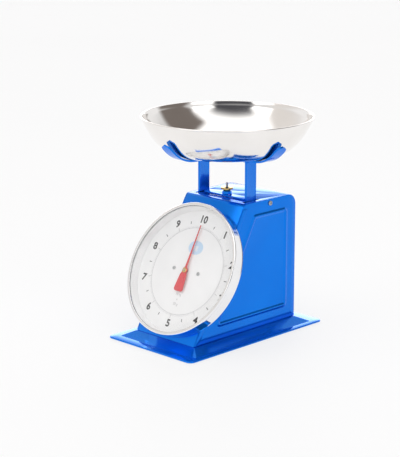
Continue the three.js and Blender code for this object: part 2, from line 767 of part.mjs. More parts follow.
// ---------- column: posts, crossbars, seat ----------
function postGeometry() {
  const footEnd = postOuter - postFootLength;
  const path = roundedPath([
    [postOuter, postBottomZ],
    [postOuter, postTopZ, postBendRadius],
    [footEnd, postTopZ],
  ], 5);
  const bar = bentStrip(path, postThickness, postWidth);
  const crossHoles = [lowerCrossbarZ, upperCrossbarZ].map((z) => (
    moved(drum(screwShankRadius + gap, -8, 8, 16), [postSpread, z + crossbarHeight / 2, 0], [0, quarter, 0])
  ));
  const rivetHoles = rivetX.map((x) => (
    moved(drum(rivetRadius + gap, -8, 8, 16), [x, postTopZ, 0], [quarter, 0, 0])
  ));
  return cut(bar, ...crossHoles, ...rivetHoles);
}

function addPosts(parent) {
  const right = postGeometry();
  const left = geometryOf(solidOf(right).mirror([1, 0, 0]));
  part(parent, 'post_right', right, 'bluePaint', [0, 0, 0], facing);
  part(parent, 'post_left', left, 'bluePaint', [0, 0, 0], facing);
}

// Height of the bowl's outer skin above its bottom.
function bowlRise(radius) {
  const share = Math.max(radius - bowlFlatRadius, 0) / (bowlRadius - bowlFlatRadius);
  return bowlDepth * share ** 3;
}

// The bowl's outer skin moved outwards by a distance, as [radius, height] at the given radius.
function besideBowl(radius, distance) {
  const span = bowlRadius - bowlFlatRadius;
  const share = Math.max(radius - bowlFlatRadius, 0) / span;
  const slope = (3 * bowlDepth * share ** 2) / span;
  const length = Math.hypot(1, slope);
  return [radius + (distance * slope) / length, bowlRise(radius) - distance / length];
}

function seatGeometry() {
  const steps = 9;
  const bendStart = bowlFlatRadius - 4;
  const arm = [];
  for (let step = 0; step <= steps; step += 1) {
    const share = step / steps;
    const radius = bendStart + (seatReach - 5 - bendStart) * share;
    arm.push(besideBowl(radius, gap + seatSpread * share ** 2));
  }
  const left = arm.map(([radius, z]) => [-radius, z]).reverse();
  const strip = bentStrip([...left, ...arm], -seatThickness, seatWidth);
  const along = moved(strip, [0, 0, 0], facing);
  const across = along.clone().rotateZ(quarter);
  const holes = rivetX.flatMap((x) => [-x, x]).map((x) => (
    moved(drum(rivetRadius + gap, -8, 8, 16), [x, 0, 0]).rotateZ(-seatTurn)
  ));
  return cut(join(along, across), ...holes);
}

function addSeat(parent) {
  part(parent, 'bowl_spider', seatGeometry(), 'bluePaint', [0, 0, bowlBottomZ], [0, 0, seatTurn]);
  const under = -postThickness - gap * 2 - seatThickness;
  const rivet = turned([
    [0, under - rivetHeadHeight], [rivetHeadRadius * 0.7, under - rivetHeadHeight],
    [rivetHeadRadius, under - 0.6], [rivetHeadRadius, under],
    [rivetRadius, under], [rivetRadius, 0], [0, 0],
  ], 12);
  for (const [name, sign] of Object.entries({ left: -1, right: 1 })) {
    Object.keys(rivetInsets).forEach((place, index) => {
      const position = [sign * rivetX[index], 0, seatTopZ - gap];
      part(parent, `seat_rivet_${name}_${place}`, rivet, 'bluePaint', position);
    });
  }
}

function crossbarGeometry(withShelf) {
  const half = postInner - gap;
  const path = [[-half, -crossbarCheek], [-half, crossbarRear], [half, crossbarRear], [half, -crossbarCheek]];
  const channel = bentStrip(path, -crossbarSheet, crossbarHeight);
  const lugX = linkWidth / 2 + lugClearance;
  const lugFrom = crossbarRear - 0.5;
  const lugTo = linkPinY + lugReach;
  const lugs = [-lugX, lugX].map((x) => (
    box(crossbarSheet, lugTo - lugFrom, lugHeight, [x, (lugTo + lugFrom) / 2, 0])
  ));
  const pinHole = moved(drum(pinRadius + gap, -80, 80, 16), [0, linkPinY, 0], [0, quarter, 0]);
  const screwHole = moved(drum(screwShankRadius + gap, -80, 80, 16), [0, 0, 0], [0, quarter, 0]);
  let bar = join(channel, ...lugs);
  if (withShelf) {
    const shelfZ = (crossbarSheet - crossbarHeight) / 2;
    const shelfFront = -springRadius - 1.4;
    const shelfRear = crossbarRear - 0.5;
    const shelfCentre = [0, (shelfFront + shelfRear) / 2, shelfZ];
    const shelf = box(2 * (springSpread + 10), shelfRear - shelfFront, crossbarSheet, shelfCentre);
    bar = cut(join(bar, shelf), ...springHoles());
  }
  return cut(bar, pinHole, screwHole);
}

function addCrossbars(parent) {
  const rows = { lower: lowerCrossbarZ, upper: upperCrossbarZ };
  const screw = screwGeometry(screwHeadRadius, screwHeadHeight, screwShankRadius, crossbarScrewShank);
  const pinHalf = linkWidth / 2 + lugClearance + crossbarSheet;
  const pin = drum(pinRadius, -pinHalf, pinHalf, 16);
  for (const [name, bottomZ] of Object.entries(rows)) {
    const z = bottomZ + crossbarHeight / 2;
    part(parent, `${name}_crossbar`, crossbarGeometry(name === 'lower'), 'steel', [0, 0, z]);
    const screwX = postOuter + gap;
    part(parent, `${name}_crossbar_screw_right`, screw, 'steel', [screwX, 0, z], [0, quarter, 0]);
    part(parent, `${name}_crossbar_screw_left`, screw, 'steel', [-screwX, 0, z], [0, -quarter, 0]);
    part(parent, `${name}_link_pin_front`, pin, 'steel', [0, linkPinY, z], [0, quarter, 0]);
  }
}

// ---------- parallel guide links and their uprights ----------
function linkGeometry() {
  const slotRadius = pinRadius + pinClearance;
  const eye = slotRadius + linkWall - pinClearance;
  const slack = linkLength * (1 - Math.cos(linkSwing));
  const bar = new THREE.Shape();
  bar.absarc(0, 0, eye, -quarter, quarter, true);
  bar.lineTo(linkLength, eye);
  bar.absarc(linkLength + 2, 0, eye, quarter, -quarter, true);
  const hole = new THREE.Path(circlePoints(slotRadius, 20));
  const slot = new THREE.Path();
  slot.absarc(linkLength - slack - gap, 0, slotRadius, quarter, 3 * quarter, false);
  slot.absarc(linkLength + gap, 0, slotRadius, -quarter, quarter, false);
  bar.holes.push(hole, slot);
  return slab(bar, linkWidth, 10);
}

function linkPivotZ(bottomZ) {
  return bottomZ + crossbarHeight / 2 - loadTravel / 2;
}

function addLinks(parent) {
  const rows = { lower: lowerCrossbarZ, upper: upperCrossbarZ };
  const pinHalf = uprightX + uprightSheet / 2 + 1.75;
  const pin = drum(pinRadius, -pinHalf, pinHalf, 16);
  const link = linkGeometry();
  for (const [name, bottomZ] of Object.entries(rows)) {
    const pivot = [0, chassisPinY, linkPivotZ(bottomZ)];
    const group = new THREE.Group();
    group.position.set(...pivot);
    group.rotation.x = -linkSwing;
    parent.add(group);
    part(group, `guide_link_${name}`, link, 'steel', [0, 0, 0], [quarter, -quarter, 0]);
    part(parent, `${name}_link_pin_rear`, pin, 'steel', pivot, [0, quarter, 0]);
  }
}

function addUprights(parent) {
  const intoFold = Math.max(chassisPinY + uprightDepth / 2 - (housingRearReach - rearFoldRadius), 0);
  const innerFold = rearFoldRadius - housingSheet;
  const foldDrop = rearFoldRadius - Math.sqrt(innerFold ** 2 - intoFold ** 2);
  const topZ = housingTopZ - foldDrop - 2 * gap;
  const middleZ = (topZ + housingFloorZ) / 2;
  const holes = [lowerCrossbarZ, upperCrossbarZ].map((bottomZ) => (
    moved(drum(pinRadius + gap, -8, 8, 16), [0, 0, linkPivotZ(bottomZ) - middleZ], [0, quarter, 0])
  ));
  const upright = cut(box(uprightSheet, uprightDepth, topZ - housingFloorZ), ...holes);
  part(parent, 'chassis_upright_right', upright, 'steel', [uprightX, chassisPinY, middleZ]);
  part(parent, 'chassis_upright_left', upright, 'steel', [-uprightX, chassisPinY, middleZ]);
}

// ---------- zero adjustment ----------
class SpringCurve extends THREE.Curve {
  constructor(bottom, top) {
    super();
    this.bottom = bottom;
    this.top = top;
  }

  getPoint(t, target = new THREE.Vector3()) {
    const shank = 0.07;
    const blend = 0.05;
    const fromEnd = Math.min(t, 1 - t) - shank;
    const radius = springRadius * THREE.MathUtils.smoothstep(fromEnd, 0, blend);
    const share = THREE.MathUtils.clamp((t - shank) / (1 - 2 * shank), 0, 1);
    const angle = 2 * Math.PI * springTurns * share;
    const shankLength = 7;
    const coil = this.top - this.bottom - 2 * shankLength;
    let z = this.bottom + shankLength + coil * share;
    if (t < shank) z = this.bottom + (shankLength * t) / shank;
    if (t > 1 - shank) z = this.top - (shankLength * (1 - t)) / shank;
    return target.set(radius * Math.cos(angle), radius * Math.sin(angle), z);
  }
}

function springGeometry() {
  const bottom = lowerCrossbarZ + 0.4;
  const top = springBeamZ + springBeamHeight - 0.4;
  const wire = new THREE.Shape(circlePoints(springWire / 2, 5));
  return new THREE.ExtrudeGeometry(wire, {
    steps: 84,
    extrudePath: new SpringCurve(bottom, top),
  });
}

function springHoles() {
  return [-springSpread, springSpread].map((x) => (
    drum(springWire / 2 + springHoleClearance, -20, 20, 16).translate(x, 0, 0)
  ));
}

function nutGeometry() {
  const bore = rodRadius + gap;
  const shoulder = nutHeight - 0.4;
  return ring([
    [bore, 0], [nutRadius * 0.62, 0], [nutRadius * 0.66, 2.4], [nutRadius, 2.6],
    [nutRadius, shoulder - 0.6], [nutRadius - 0.8, shoulder], [bore + 1.7, shoulder],
    [bore + 1.5, nutHeight], [bore, nutHeight],
  ], 32);
}

function addZeroAdjuster(parent) {
  const bore = rodRadius + gap;
  const rodHole = drum(bore, -20, 20, 16);
  const strapLength = 2 * (postInner - strapEndClearance);
  const strap = cut(box(strapLength, strapWidth, strapThickness), rodHole);
  part(parent, 'bridge_strap', strap, 'bluePaint', [0, 0, (strapBottomZ + strapTopZ) / 2]);
  part(parent, 'adjuster_boss', ring([
    [bore, strapTopZ + gap], [bossRadius, strapTopZ + gap],
    [bossRadius - 0.6, nutBottomZ - gap], [bore, nutBottomZ - gap],
  ], 24), 'bluePaint');
  part(parent, 'zero_nut', nutGeometry(), 'brass', [0, 0, nutBottomZ]);

  const headTop = springBeamZ - gap;
  const headBottom = headTop - rodHeadHeight;
  part(parent, 'zero_rod', turned([
    [0, headBottom], [rodHeadRadius, headBottom], [rodHeadRadius, headTop], [rodRadius, headTop],
    [rodRadius, rodTopZ - 0.7], [rodRadius - 0.7, rodTopZ], [0, rodTopZ],
  ], 16), 'steel');
  const beamLength = 2 * (springSpread + 7);
  const beam = cut(box(beamLength, springBeamDepth, springBeamHeight), rodHole, ...springHoles());
  part(parent, 'spring_beam', beam, 'steel', [0, 0, springBeamZ + springBeamHeight / 2]);
  const spring = springGeometry();
  part(parent, 'spring_left', spring, 'steel', [-springSpread, 0, 0]);
  part(parent, 'spring_right', spring, 'steel', [springSpread, 0, 0]);
}

// ---------- bowl ----------
function bowlGeometry() {
  const steps = 7;
  const edge = bowlRadius - 2 * bowlBeadRadius;
  const outer = [];
  const inner = [];
  for (let step = 0; step <= steps; step += 1) {
    const radius = bowlFlatRadius + (edge - bowlFlatRadius) * (step / steps);
    outer.push([radius, bowlRise(radius)]);
    const [innerRadius, innerZ] = besideBowl(radius, -bowlWall);
    inner.push([innerRadius, innerZ]);
  }
  const beadX = bowlRadius - bowlBeadRadius;
  const beadZ = bowlDepth - bowlBeadRadius;
  const bead = [-90, -45, 0, 45, 90, 135].map((degrees) => {
    const angle = THREE.MathUtils.degToRad(degrees);
    return [beadX + bowlBeadRadius * Math.cos(angle), beadZ + bowlBeadRadius * Math.sin(angle)];
  });
  return turned([[0, 0], ...outer, ...bead, ...inner.reverse(), [0, bowlWall]], 48);
}

// ---------- assembly ----------
const assembly = new THREE.Group();
assembly.position.y = frameShiftY;

addBase(assembly);
addHousing(assembly);
addRearCover(assembly);
const dialFace = addDial(assembly);
addSpindleSupport(dialFace);
addPointerDrive(dialFace);
addRack(assembly, dialFace);
addPosts(assembly);
addSeat(assembly);
addCrossbars(assembly);
addLinks(assembly);
addUprights(assembly);
addZeroAdjuster(assembly);
part(assembly, 'bowl', bowlGeometry(), 'stainless', [0, 0, bowlBottomZ]);

const springScale = new THREE.Group();
springScale.add(assembly);

export default springScale;
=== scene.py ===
"""Bench-top dial spring scale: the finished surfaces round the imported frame.

Lengths in this script are millimetres until a mesh is made. +Z is up, -Y is the dial side and
+X is the reader's right. Places come from the frame's boxes and from the pointer's joint axis.
"""
import json
import math

import bmesh
import bpy
from mathutils import Matrix, Vector


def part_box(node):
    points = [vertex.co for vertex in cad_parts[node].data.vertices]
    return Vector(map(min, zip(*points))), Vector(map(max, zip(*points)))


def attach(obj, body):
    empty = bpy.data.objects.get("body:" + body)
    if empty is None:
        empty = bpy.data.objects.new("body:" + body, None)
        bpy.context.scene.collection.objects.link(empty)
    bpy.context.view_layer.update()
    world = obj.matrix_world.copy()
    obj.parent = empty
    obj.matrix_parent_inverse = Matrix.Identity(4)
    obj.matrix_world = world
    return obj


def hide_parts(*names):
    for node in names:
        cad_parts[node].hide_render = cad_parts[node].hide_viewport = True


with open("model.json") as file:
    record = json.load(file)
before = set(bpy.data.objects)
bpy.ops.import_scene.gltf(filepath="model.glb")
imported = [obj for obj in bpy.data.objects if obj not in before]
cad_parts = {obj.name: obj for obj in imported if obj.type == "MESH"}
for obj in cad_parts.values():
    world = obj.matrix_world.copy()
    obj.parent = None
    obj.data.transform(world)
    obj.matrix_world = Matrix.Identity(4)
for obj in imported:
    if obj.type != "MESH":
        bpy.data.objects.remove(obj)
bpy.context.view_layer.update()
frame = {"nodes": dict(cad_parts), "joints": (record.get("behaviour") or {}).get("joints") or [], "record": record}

MM = 0.001
TAU = 2 * math.pi
scene = bpy.context.scene


# ---------- places taken from the frame ----------
def corners(node):
    """Lowest and highest corner of a frame node, in millimetres."""
    low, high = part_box(node)
    return low / MM, high / MM


def joint(name):
    return next(item for item in frame["joints"] if item["name"] == name)


bowl_low, bowl_high = corners("bowl")
base_low, base_high = corners("base_plate")
shell_low, shell_high = corners("body_shell")
panel_high = corners("side_panel_right")[1]
column_y = (bowl_low.y + bowl_high.y) / 2
PANEL_FACE = panel_high.x - 0.8  # flat face of a side; the box also holds its bead

dial_out = -Vector(joint("pointer_turn")["axis"]).normalized()
dial_right = Vector((1, 0, 0))
dial_up = dial_out.cross(dial_right)
slope_run = dial_out.z / -dial_out.y
card_low, card_high = corners("dial_plate")
CARD_LEVEL = 5.6  # middle of the dial plate above the front sheet
dial_centre = (card_low + card_high) / 2 - dial_out * CARD_LEVEL
dial_place = Matrix((
    (dial_right.x, dial_up.x, dial_out.x, dial_centre.x),
    (dial_right.y, dial_up.y, dial_out.y, dial_centre.y),
    (dial_right.z, dial_up.z, dial_out.z, dial_centre.z),
    (0, 0, 0, 1),
))


def on_column(height):
    """The place on the column's axis at a height."""
    return Matrix.Translation((0, column_y, height))


# ---------- node trees ----------
class Tree:
    """Short forms for filling a node tree."""

    def __init__(self, tree):
        self.tree = tree

    def add(self, kind, inputs=None, **settings):
        node = self.tree.nodes.new(kind)
        for key, value in settings.items():
            setattr(node, key, value)
        for key, value in (inputs or {}).items():
            self.feed(node.inputs[key], value)
        return node

    def out(self, kind, inputs=None, **settings):
        """Adds a node and gives its first output."""
        return self.add(kind, inputs, **settings).outputs[0]

    def feed(self, socket, value):
        if isinstance(value, bpy.types.NodeSocket):
            self.tree.links.new(value, socket)
        else:
            socket.default_value = value

    def math(self, operation, *values):
        node = self.add("ShaderNodeMath", operation=operation)
        for socket, value in zip(node.inputs, values):
            self.feed(socket, value)
        return node.outputs[0]

    def object_place(self):
        return self.add("ShaderNodeTexCoord").outputs["Object"]

    def noise(self, place, scale, detail, **more):
        inputs = {"Vector": place, "Scale": scale, "Detail": detail, **more}
        return self.out("ShaderNodeTexNoise", inputs)

    def remap(self, value, low, high, to_low=0.0, to_high=1.0, **settings):
        """The value stretched from one range to another and held inside it."""
        inputs = {"Value": value, "From Min": low, "From Max": high, "To Min": to_low, "To Max": to_high}
        return self.out("ShaderNodeMapRange", inputs, **settings)

    def mix(self, share, first, second):
        inputs = {"Fac": share, "Color1": first, "Color2": second}
        return self.out("ShaderNodeMixRGB", inputs)


def interface(tree, inputs, outputs):
    """Gives a group its named sockets, as (name, socket kind, default) rows."""
    for name, kind, default in inputs:
        socket = tree.interface.new_socket(name, in_out="INPUT", socket_type=kind)
        if default is not None:
            socket.default_value = default
    for name, kind in outputs:
        tree.interface.new_socket(name, in_out="OUTPUT", socket_type=kind)


FLOAT = "NodeSocketFloat"
COLOUR = "NodeSocketColor"
VECTOR = "NodeSocketVector"
WHOLE = "NodeSocketInt"


def shader_group(name, inputs, outputs):
    group = bpy.data.node_groups.new(name, "ShaderNodeTree")
    interface(group, inputs, outputs)
    tree = Tree(group)
    return group, tree, tree.add("NodeGroupInput").outputs, tree.add("NodeGroupOutput").inputs


def make_fine_grain():
    """A small random relief, for enamel skin, cast texture and paper."""
    group, tree, given, result = shader_group(
        "fine_grain",
        [("Scale", FLOAT, 400.0), ("Detail", FLOAT, 2.0), ("Low", FLOAT, 0.2), ("High", FLOAT, 0.3)],
        [("Height", FLOAT), ("Roughness", FLOAT)],
    )
    place = tree.object_place()
    tree.feed(result["Height"], tree.noise(place, given["Scale"], given["Detail"], Roughness=0.55))
    broad = tree.noise(place, 14.0, 3.0)
    tree.feed(result["Roughness"], tree.remap(broad, 0.3, 0.7, given["Low"], given["High"]))
    return group


def make_tone():
    """A colour that wanders a little between two tones, and dulls where dust settles."""
    group, tree, given, result = shader_group(
        "tone",
        [
            ("Main", COLOUR, (1, 1, 1, 1)), ("Second", COLOUR, (0.9, 0.9, 0.9, 1)),
            ("Dust", COLOUR, (0.6, 0.6, 0.58, 1)), ("Scale", FLOAT, 20.0), ("Dust Amount", FLOAT, 0.05),
        ],
        [("Colour", COLOUR)],
    )
    place = tree.object_place()
    share = tree.remap(tree.noise(place, given["Scale"], 4.0), 0.35, 0.65)
    mixed = tree.mix(share, given["Main"], given["Second"])
    upward = tree.add("ShaderNodeSeparateXYZ", {
        "Vector": tree.add("ShaderNodeNewGeometry").outputs["Normal"],
    }).outputs["Z"]
    settled = tree.math("MULTIPLY", tree.math("MAXIMUM", upward, 0.0), given["Dust Amount"])
    dusty = tree.math("MULTIPLY", settled, tree.noise(place, 90.0, 6.0))
    tree.feed(result["Colour"], tree.mix(dusty, mixed, given["Dust"]))
    return group


def make_edge_wear():
    """A mask that is 1 on worn outer edges."""
    group, tree, given, result = shader_group(
        "edge_wear",
        [("Start", FLOAT, 0.54), ("Full", FLOAT, 0.62), ("Amount", FLOAT, 0.5)],
        [("Mask", FLOAT)],
    )
    pointed = tree.add("ShaderNodeNewGeometry").outputs["Pointiness"]
    edge = tree.remap(pointed, given["Start"], given["Full"])
    broken = tree.remap(tree.noise(tree.object_place(), 60.0, 5.0), 0.42, 0.66)
    tree.feed(result["Mask"], tree.math("MULTIPLY", tree.math("MULTIPLY", edge, broken), given["Amount"]))
    return group


def make_lathe_marks():
    """Fine rings round an axis, as polishing and turning leave them."""
    group, tree, given, result = shader_group(
        "lathe_marks",
        [
            ("Centre", VECTOR, (0, 0, 0)), ("Turn", VECTOR, (0, 0, 0)), ("Rings", FLOAT, 900.0),
            ("Low", FLOAT, 0.05), ("High", FLOAT, 0.12),
        ],
        [("Height", FLOAT), ("Roughness", FLOAT)],
    )
    place = tree.object_place()
    moved = tree.out("ShaderNodeVectorMath", {0: place, 1: given["Centre"]}, operation="SUBTRACT")
    turned_place = tree.out("ShaderNodeVectorRotate", {
        "Vector": moved, "Rotation": given["Turn"],
    }, rotation_type="EULER_XYZ", invert=True)
    parts = tree.add("ShaderNodeSeparateXYZ", {"Vector": turned_place})
    x, y, z = (parts.outputs[axis] for axis in "XYZ")
    radius = tree.math("SQRT", tree.math("ADD", tree.math("MULTIPLY", x, x), tree.math("MULTIPLY", y, y)))
    along = tree.out("ShaderNodeCombineXYZ", {"X": radius, "Y": z})
    fine = tree.noise(along, given["Rings"], 3.0)
    tree.feed(result["Height"], fine)
    cloudy = tree.math("MULTIPLY", tree.noise(place, 18.0, 4.0), 0.65)
    blend = tree.math("ADD", tree.math("MULTIPLY", fine, 0.35), cloudy)
    tree.feed(result["Roughness"], tree.remap(blend, 0.35, 0.65, given["Low"], given["High"]))
    return group


fine_grain = make_fine_grain()
tone = make_tone()
edge_wear = make_edge_wear()
lathe_marks = make_lathe_marks()


# ---------- materials ----------
def finish_of(name):
    """A new material, its tree and its Principled shader."""
    material = bpy.data.materials.new(name)
    material.use_nodes = True
    tree = Tree(material.node_tree)
    shader = material.node_tree.nodes["Principled BSDF"]
    return material, tree, shader


def group_node(tree, group, **values):
    node = tree.add("ShaderNodeGroup", node_tree=group)
    for key, value in values.items():
        tree.feed(node.inputs[key.replace("_", " ")], value)
    return node


def set_values(shader, **values):
    for key, value in values.items():
        shader.inputs[key.replace("_", " ")].default_value = value


def shade(tree, main, second, dust, scale, dust_amount):
    """The colour of the tone group for this finish."""
    return group_node(
        tree, tone, Main=(*main, 1), Second=(*second, 1), Dust=(*dust, 1), Scale=scale,
        Dust_Amount=dust_amount,
    ).outputs[0]


def worn_shade(tree, colour, bare, start, full, amount):
    """The colour with its outer edges worn to the bare one."""
    wear = group_node(tree, edge_wear, Start=start, Full=full, Amount=amount)
    return tree.mix(wear.outputs[0], colour, (*bare, 1))


def dress(tree, shader, colour, surface, strength, distance=0.0002, **values):
    """Joins the colour and the surface group's roughness and relief to the shader."""
    tree.feed(shader.inputs["Base Color"], colour)
    tree.feed(shader.inputs["Roughness"], surface.outputs["Roughness"])
    bump = tree.out("ShaderNodeBump", {
        "Height": surface.outputs["Height"], "Strength": strength, "Distance": distance,
    })
    tree.feed(shader.inputs["Normal"], bump)
    set_values(shader, **values)


def make_blue_enamel():
    """Glossy blue paint with a metallic sheen, and slightly lighter worn edges."""
    material, tree, shader = finish_of("blue_enamel")
    colour = shade(tree, (0.002, 0.205, 0.85), (0.002, 0.185, 0.80), (0.06, 0.28, 0.76), 9.0, 0.05)
    skin = group_node(tree, fine_grain, Scale=420.0, Detail=1.5, Low=0.12, High=0.17)
    dress(
        tree, shader, worn_shade(tree, colour, (0.05, 0.26, 0.85), 0.56, 0.66, 0.35), skin, 0.05, 0.0004,
        Metallic=0.72, Specular_IOR_Level=0.2, Coat_Weight=0.08, Coat_Roughness=0.03, Coat_IOR=1.38,
    )
    return material


def make_metal(name, colour, second, rough, rings, axis, depth, metallic=1.0):
    """A bare metal with polishing or turning rings round an axis, given by its centre and turn."""
    material, tree, shader = finish_of(name)
    centre, turn = axis
    marks = group_node(
        tree, lathe_marks, Centre=centre, Turn=turn, Rings=rings, Low=rough[0], High=rough[1],
    )
    dull = shade(tree, colour, second, (0.5, 0.49, 0.47), 16.0, 0.03)
    dress(tree, shader, dull, marks, depth, Metallic=metallic)
    return material


def make_plated_steel():
    """Plated steel for the hidden works and the screws."""
    material, tree, shader = finish_of("plated_steel")
    colour = shade(tree, (0.56, 0.57, 0.58), (0.44, 0.45, 0.47), (0.3, 0.29, 0.27), 60.0, 0.1)
    grain = group_node(tree, fine_grain, Scale=900.0, Detail=3.0, Low=0.26, High=0.42)
    worn = worn_shade(tree, colour, (0.78, 0.78, 0.79), 0.53, 0.62, 0.6)
    dress(tree, shader, worn, grain, 0.12, Metallic=1.0)
    return material


def make_paint(name, colour, second, rough, grain_scale, coat, dust=0.03):
    """A plain painted, printed or rubber surface."""
    material, tree, shader = finish_of(name)
    grain = group_node(tree, fine_grain, Scale=grain_scale, Detail=2.0, Low=rough[0], High=rough[1])
    dull = shade(tree, colour, second, (0.6, 0.58, 0.55), 25.0, dust)
    dress(tree, shader, dull, grain, 0.06, Coat_Weight=coat, Coat_Roughness=0.06)
    return material


def make_window_glass():
    """Clear flat glass that lets the lamps light the dial behind it."""
    material, tree, shader = finish_of("window_glass")
    wipe = group_node(tree, fine_grain, Scale=30.0, Detail=4.0, Low=0.0, High=0.02)
    tree.feed(shader.inputs["Roughness"], wipe.outputs["Roughness"])
    set_values(shader, Base_Color=(1, 1, 1, 1), Transmission_Weight=1.0, IOR=1.45)
    clear = tree.out("ShaderNodeBsdfTransparent")
    path = tree.add("ShaderNodeLightPath").outputs
    passing = tree.math("MAXIMUM", path["Is Shadow Ray"], path["Is Diffuse Ray"])
    both = tree.out("ShaderNodeMixShader", {0: passing, 1: shader.outputs[0], 2: clear})
    output = material.node_tree.nodes["Material Output"]
    tree.feed(output.inputs["Surface"], both)
    return material


bowl_axis = ((0, column_y * MM, bowl_low.z * MM), (0, 0, 0))
column_axis = ((0, column_y * MM, 0), (0, 0, 0))
dial_axis = (tuple(dial_centre * MM), (math.atan2(-dial_out.y, dial_out.z), 0, 0))

blue_enamel = make_blue_enamel()
bowl_steel = make_metal(
    "bowl_steel", (0.92, 0.895, 0.875), (0.875, 0.85, 0.825), (0.07, 0.13), 1400.0, bowl_axis, 0.05,
)
bezel_chrome = make_metal(
    "bezel_chrome", (0.93, 0.93, 0.94), (0.88, 0.88, 0.89), (0.04, 0.09), 700.0, dial_axis, 0.02,
)
satin_chrome = make_metal(
    "satin_chrome", (0.93, 0.93, 0.93), (0.89, 0.885, 0.88), (0.42, 0.52), 700.0, dial_axis, 0.02, 0.35,
)
turned_brass = make_metal(
    "turned_brass", (0.82, 0.60, 0.22), (0.66, 0.45, 0.15), (0.18, 0.32), 2500.0, column_axis, 0.10,
)
dial_brass = make_metal(
    "dial_brass", (0.84, 0.60, 0.24), (0.70, 0.47, 0.17), (0.16, 0.30), 2500.0, dial_axis, 0.10,
)
plated_steel = make_plated_steel()
dial_enamel = make_paint("dial_enamel", (0.90, 0.90, 0.90), (0.87, 0.87, 0.87), (0.30, 0.38), 1500.0, 0.2)
ink_black = make_paint("ink_black", (0.02, 0.02, 0.022), (0.035, 0.035, 0.04), (0.45, 0.6), 2000.0, 0.0)
ink_grey = make_paint("ink_grey", (0.42, 0.42, 0.43), (0.50, 0.50, 0.51), (0.45, 0.6), 2000.0, 0.0)
ink_pale_blue = make_paint("ink_pale_blue", (0.50, 0.68, 0.86), (0.56, 0.72, 0.88), (0.4, 0.5), 2000.0, 0.0)
ink_white = make_paint("ink_white", (0.88, 0.90, 0.92), (0.84, 0.87, 0.90), (0.4, 0.5), 2000.0, 0.0)
needle_red = make_paint("needle_red", (0.72, 0.045, 0.06), (0.62, 0.03, 0.045), (0.25, 0.36), 900.0, 0.3)
foot_rubber = make_paint(
    "foot_rubber", (0.018, 0.018, 0.019), (0.03, 0.03, 0.03), (0.6, 0.8), 1200.0, 0.0, 0.2,
)
window_glass = make_window_glass()


# ---------- mesh helpers ----------
def new_object(name, data):
    obj = bpy.data.objects.new(name, data)
    scene.collection.objects.link(obj)
    return obj


def mesh_object(name, points, faces, material, place=None):
    """An object at the origin whose mesh holds its place. Points are millimetres."""
    mesh = bpy.data.meshes.new(name)
    matrix = place or Matrix.Identity(4)
    mesh.from_pydata([matrix @ Vector(point) * MM for point in points], [], faces)
    mesh.materials.append(material)
    return new_object(name, mesh)


def bake_modifiers(obj):
    """Replaces the mesh by its finished shape and removes the modifiers."""
    graph = bpy.context.evaluated_depsgraph_get()
    finished = bpy.data.meshes.new_from_object(obj.evaluated_get(graph))
    obj.modifiers.clear()
    obj.data = finished


def soften(obj, width, segments=3, angle=30):
    """Rounds the edges that are sharper than the angle."""
    bevel = obj.modifiers.new("soft_edges", "BEVEL")
    bevel.width = width * MM
    bevel.segments = segments
    bevel.limit_method = "ANGLE"
    bevel.angle_limit = math.radians(angle)
    bevel.use_clamp_overlap = True
    bake_modifiers(obj)


def face_out(obj, smooth_angle=35):
    """Joins doubled points, turns the faces outwards and shades them smooth up to the angle."""
    work = bmesh.new()
    work.from_mesh(obj.data)
    bmesh.ops.remove_doubles(work, verts=work.verts, dist=0.002 * MM)
    bmesh.ops.recalc_face_normals(work, faces=work.faces)
    work.to_mesh(obj.data)
    work.free()
    obj.data.shade_smooth()
    obj.data.set_sharp_from_angle(angle=math.radians(smooth_angle))


def carry(obj, body, slot, *replaced, smooth_angle=35):
    """The last step of every piece: clean normals, then its body, and its stand-in hidden. The slot argument is
    not used.
    """
    face_out(obj, smooth_angle)
    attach(obj, body)
    if replaced:
        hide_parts(*replaced)
    return obj


def join_objects(name, objects):
    """One object from several meshes that share a finish and a body."""
    work = bmesh.new()
    for obj in objects:
        work.from_mesh(obj.data)
    for face in work.faces:
        face.material_index = 0
    mesh = bpy.data.meshes.new(name)
    work.to_mesh(mesh)
    work.free()
    mesh.materials.append(objects[0].data.materials[0])
    for obj in objects:
        bpy.data.objects.remove(obj)
    return new_object(name, mesh)


def rounded(corners_in, steps=6):
    """Points of a polyline whose (x, y, radius) corners are replaced by arcs."""
    points = []
    last = len(corners_in) - 1
    for index, (x, y, radius) in enumerate(corners_in):
        if radius == 0 or index in (0, last):
            points.append((x, y))
            continue
        here = Vector((x, y))
        back = (Vector(corners_in[index - 1][:2]) - here).normalized()
        ahead = (Vector(corners_in[index + 1][:2]) - here).normalized()
        half = math.acos(max(-1, min(1, back.dot(ahead)))) / 2
        start = here + back * (radius / math.tan(half))
        centre = here + (back + ahead).normalized() * (radius / math.sin(half))
        arm = start - centre
        side = 1 if back.x * ahead.y - back.y * ahead.x > 0 else -1
        sweep = -side * (math.pi - 2 * half)
        for step in range(steps + 1):
            turn = Matrix.Rotation(sweep * step / steps, 2)
            points.append(tuple(centre + turn @ arm))
    return points


def closed_rounded(corners_in, steps=6):
    """The same for a closed outline: every corner gets steps + 1 points."""
    doubled = [corners_in[-1], *corners_in, corners_in[0]]
    return rounded(doubled, steps)[1:-1]


def bands(pairs, count):
    """The four-sided faces between pairs of rows, each row a closed ring of count points."""
    faces = []
    for first, second in pairs:
        low, high = first * count, second * count
        for step in range(count):
            after = (step + 1) % count
            faces.append((low + step, low + after, high + after, high + step))
    return faces


def ring_profile(corners_in, steps):
    """A closed outline that starts and ends on its sharp first corner."""
    return rounded([*corners_in, corners_in[0]], steps)[:-1]


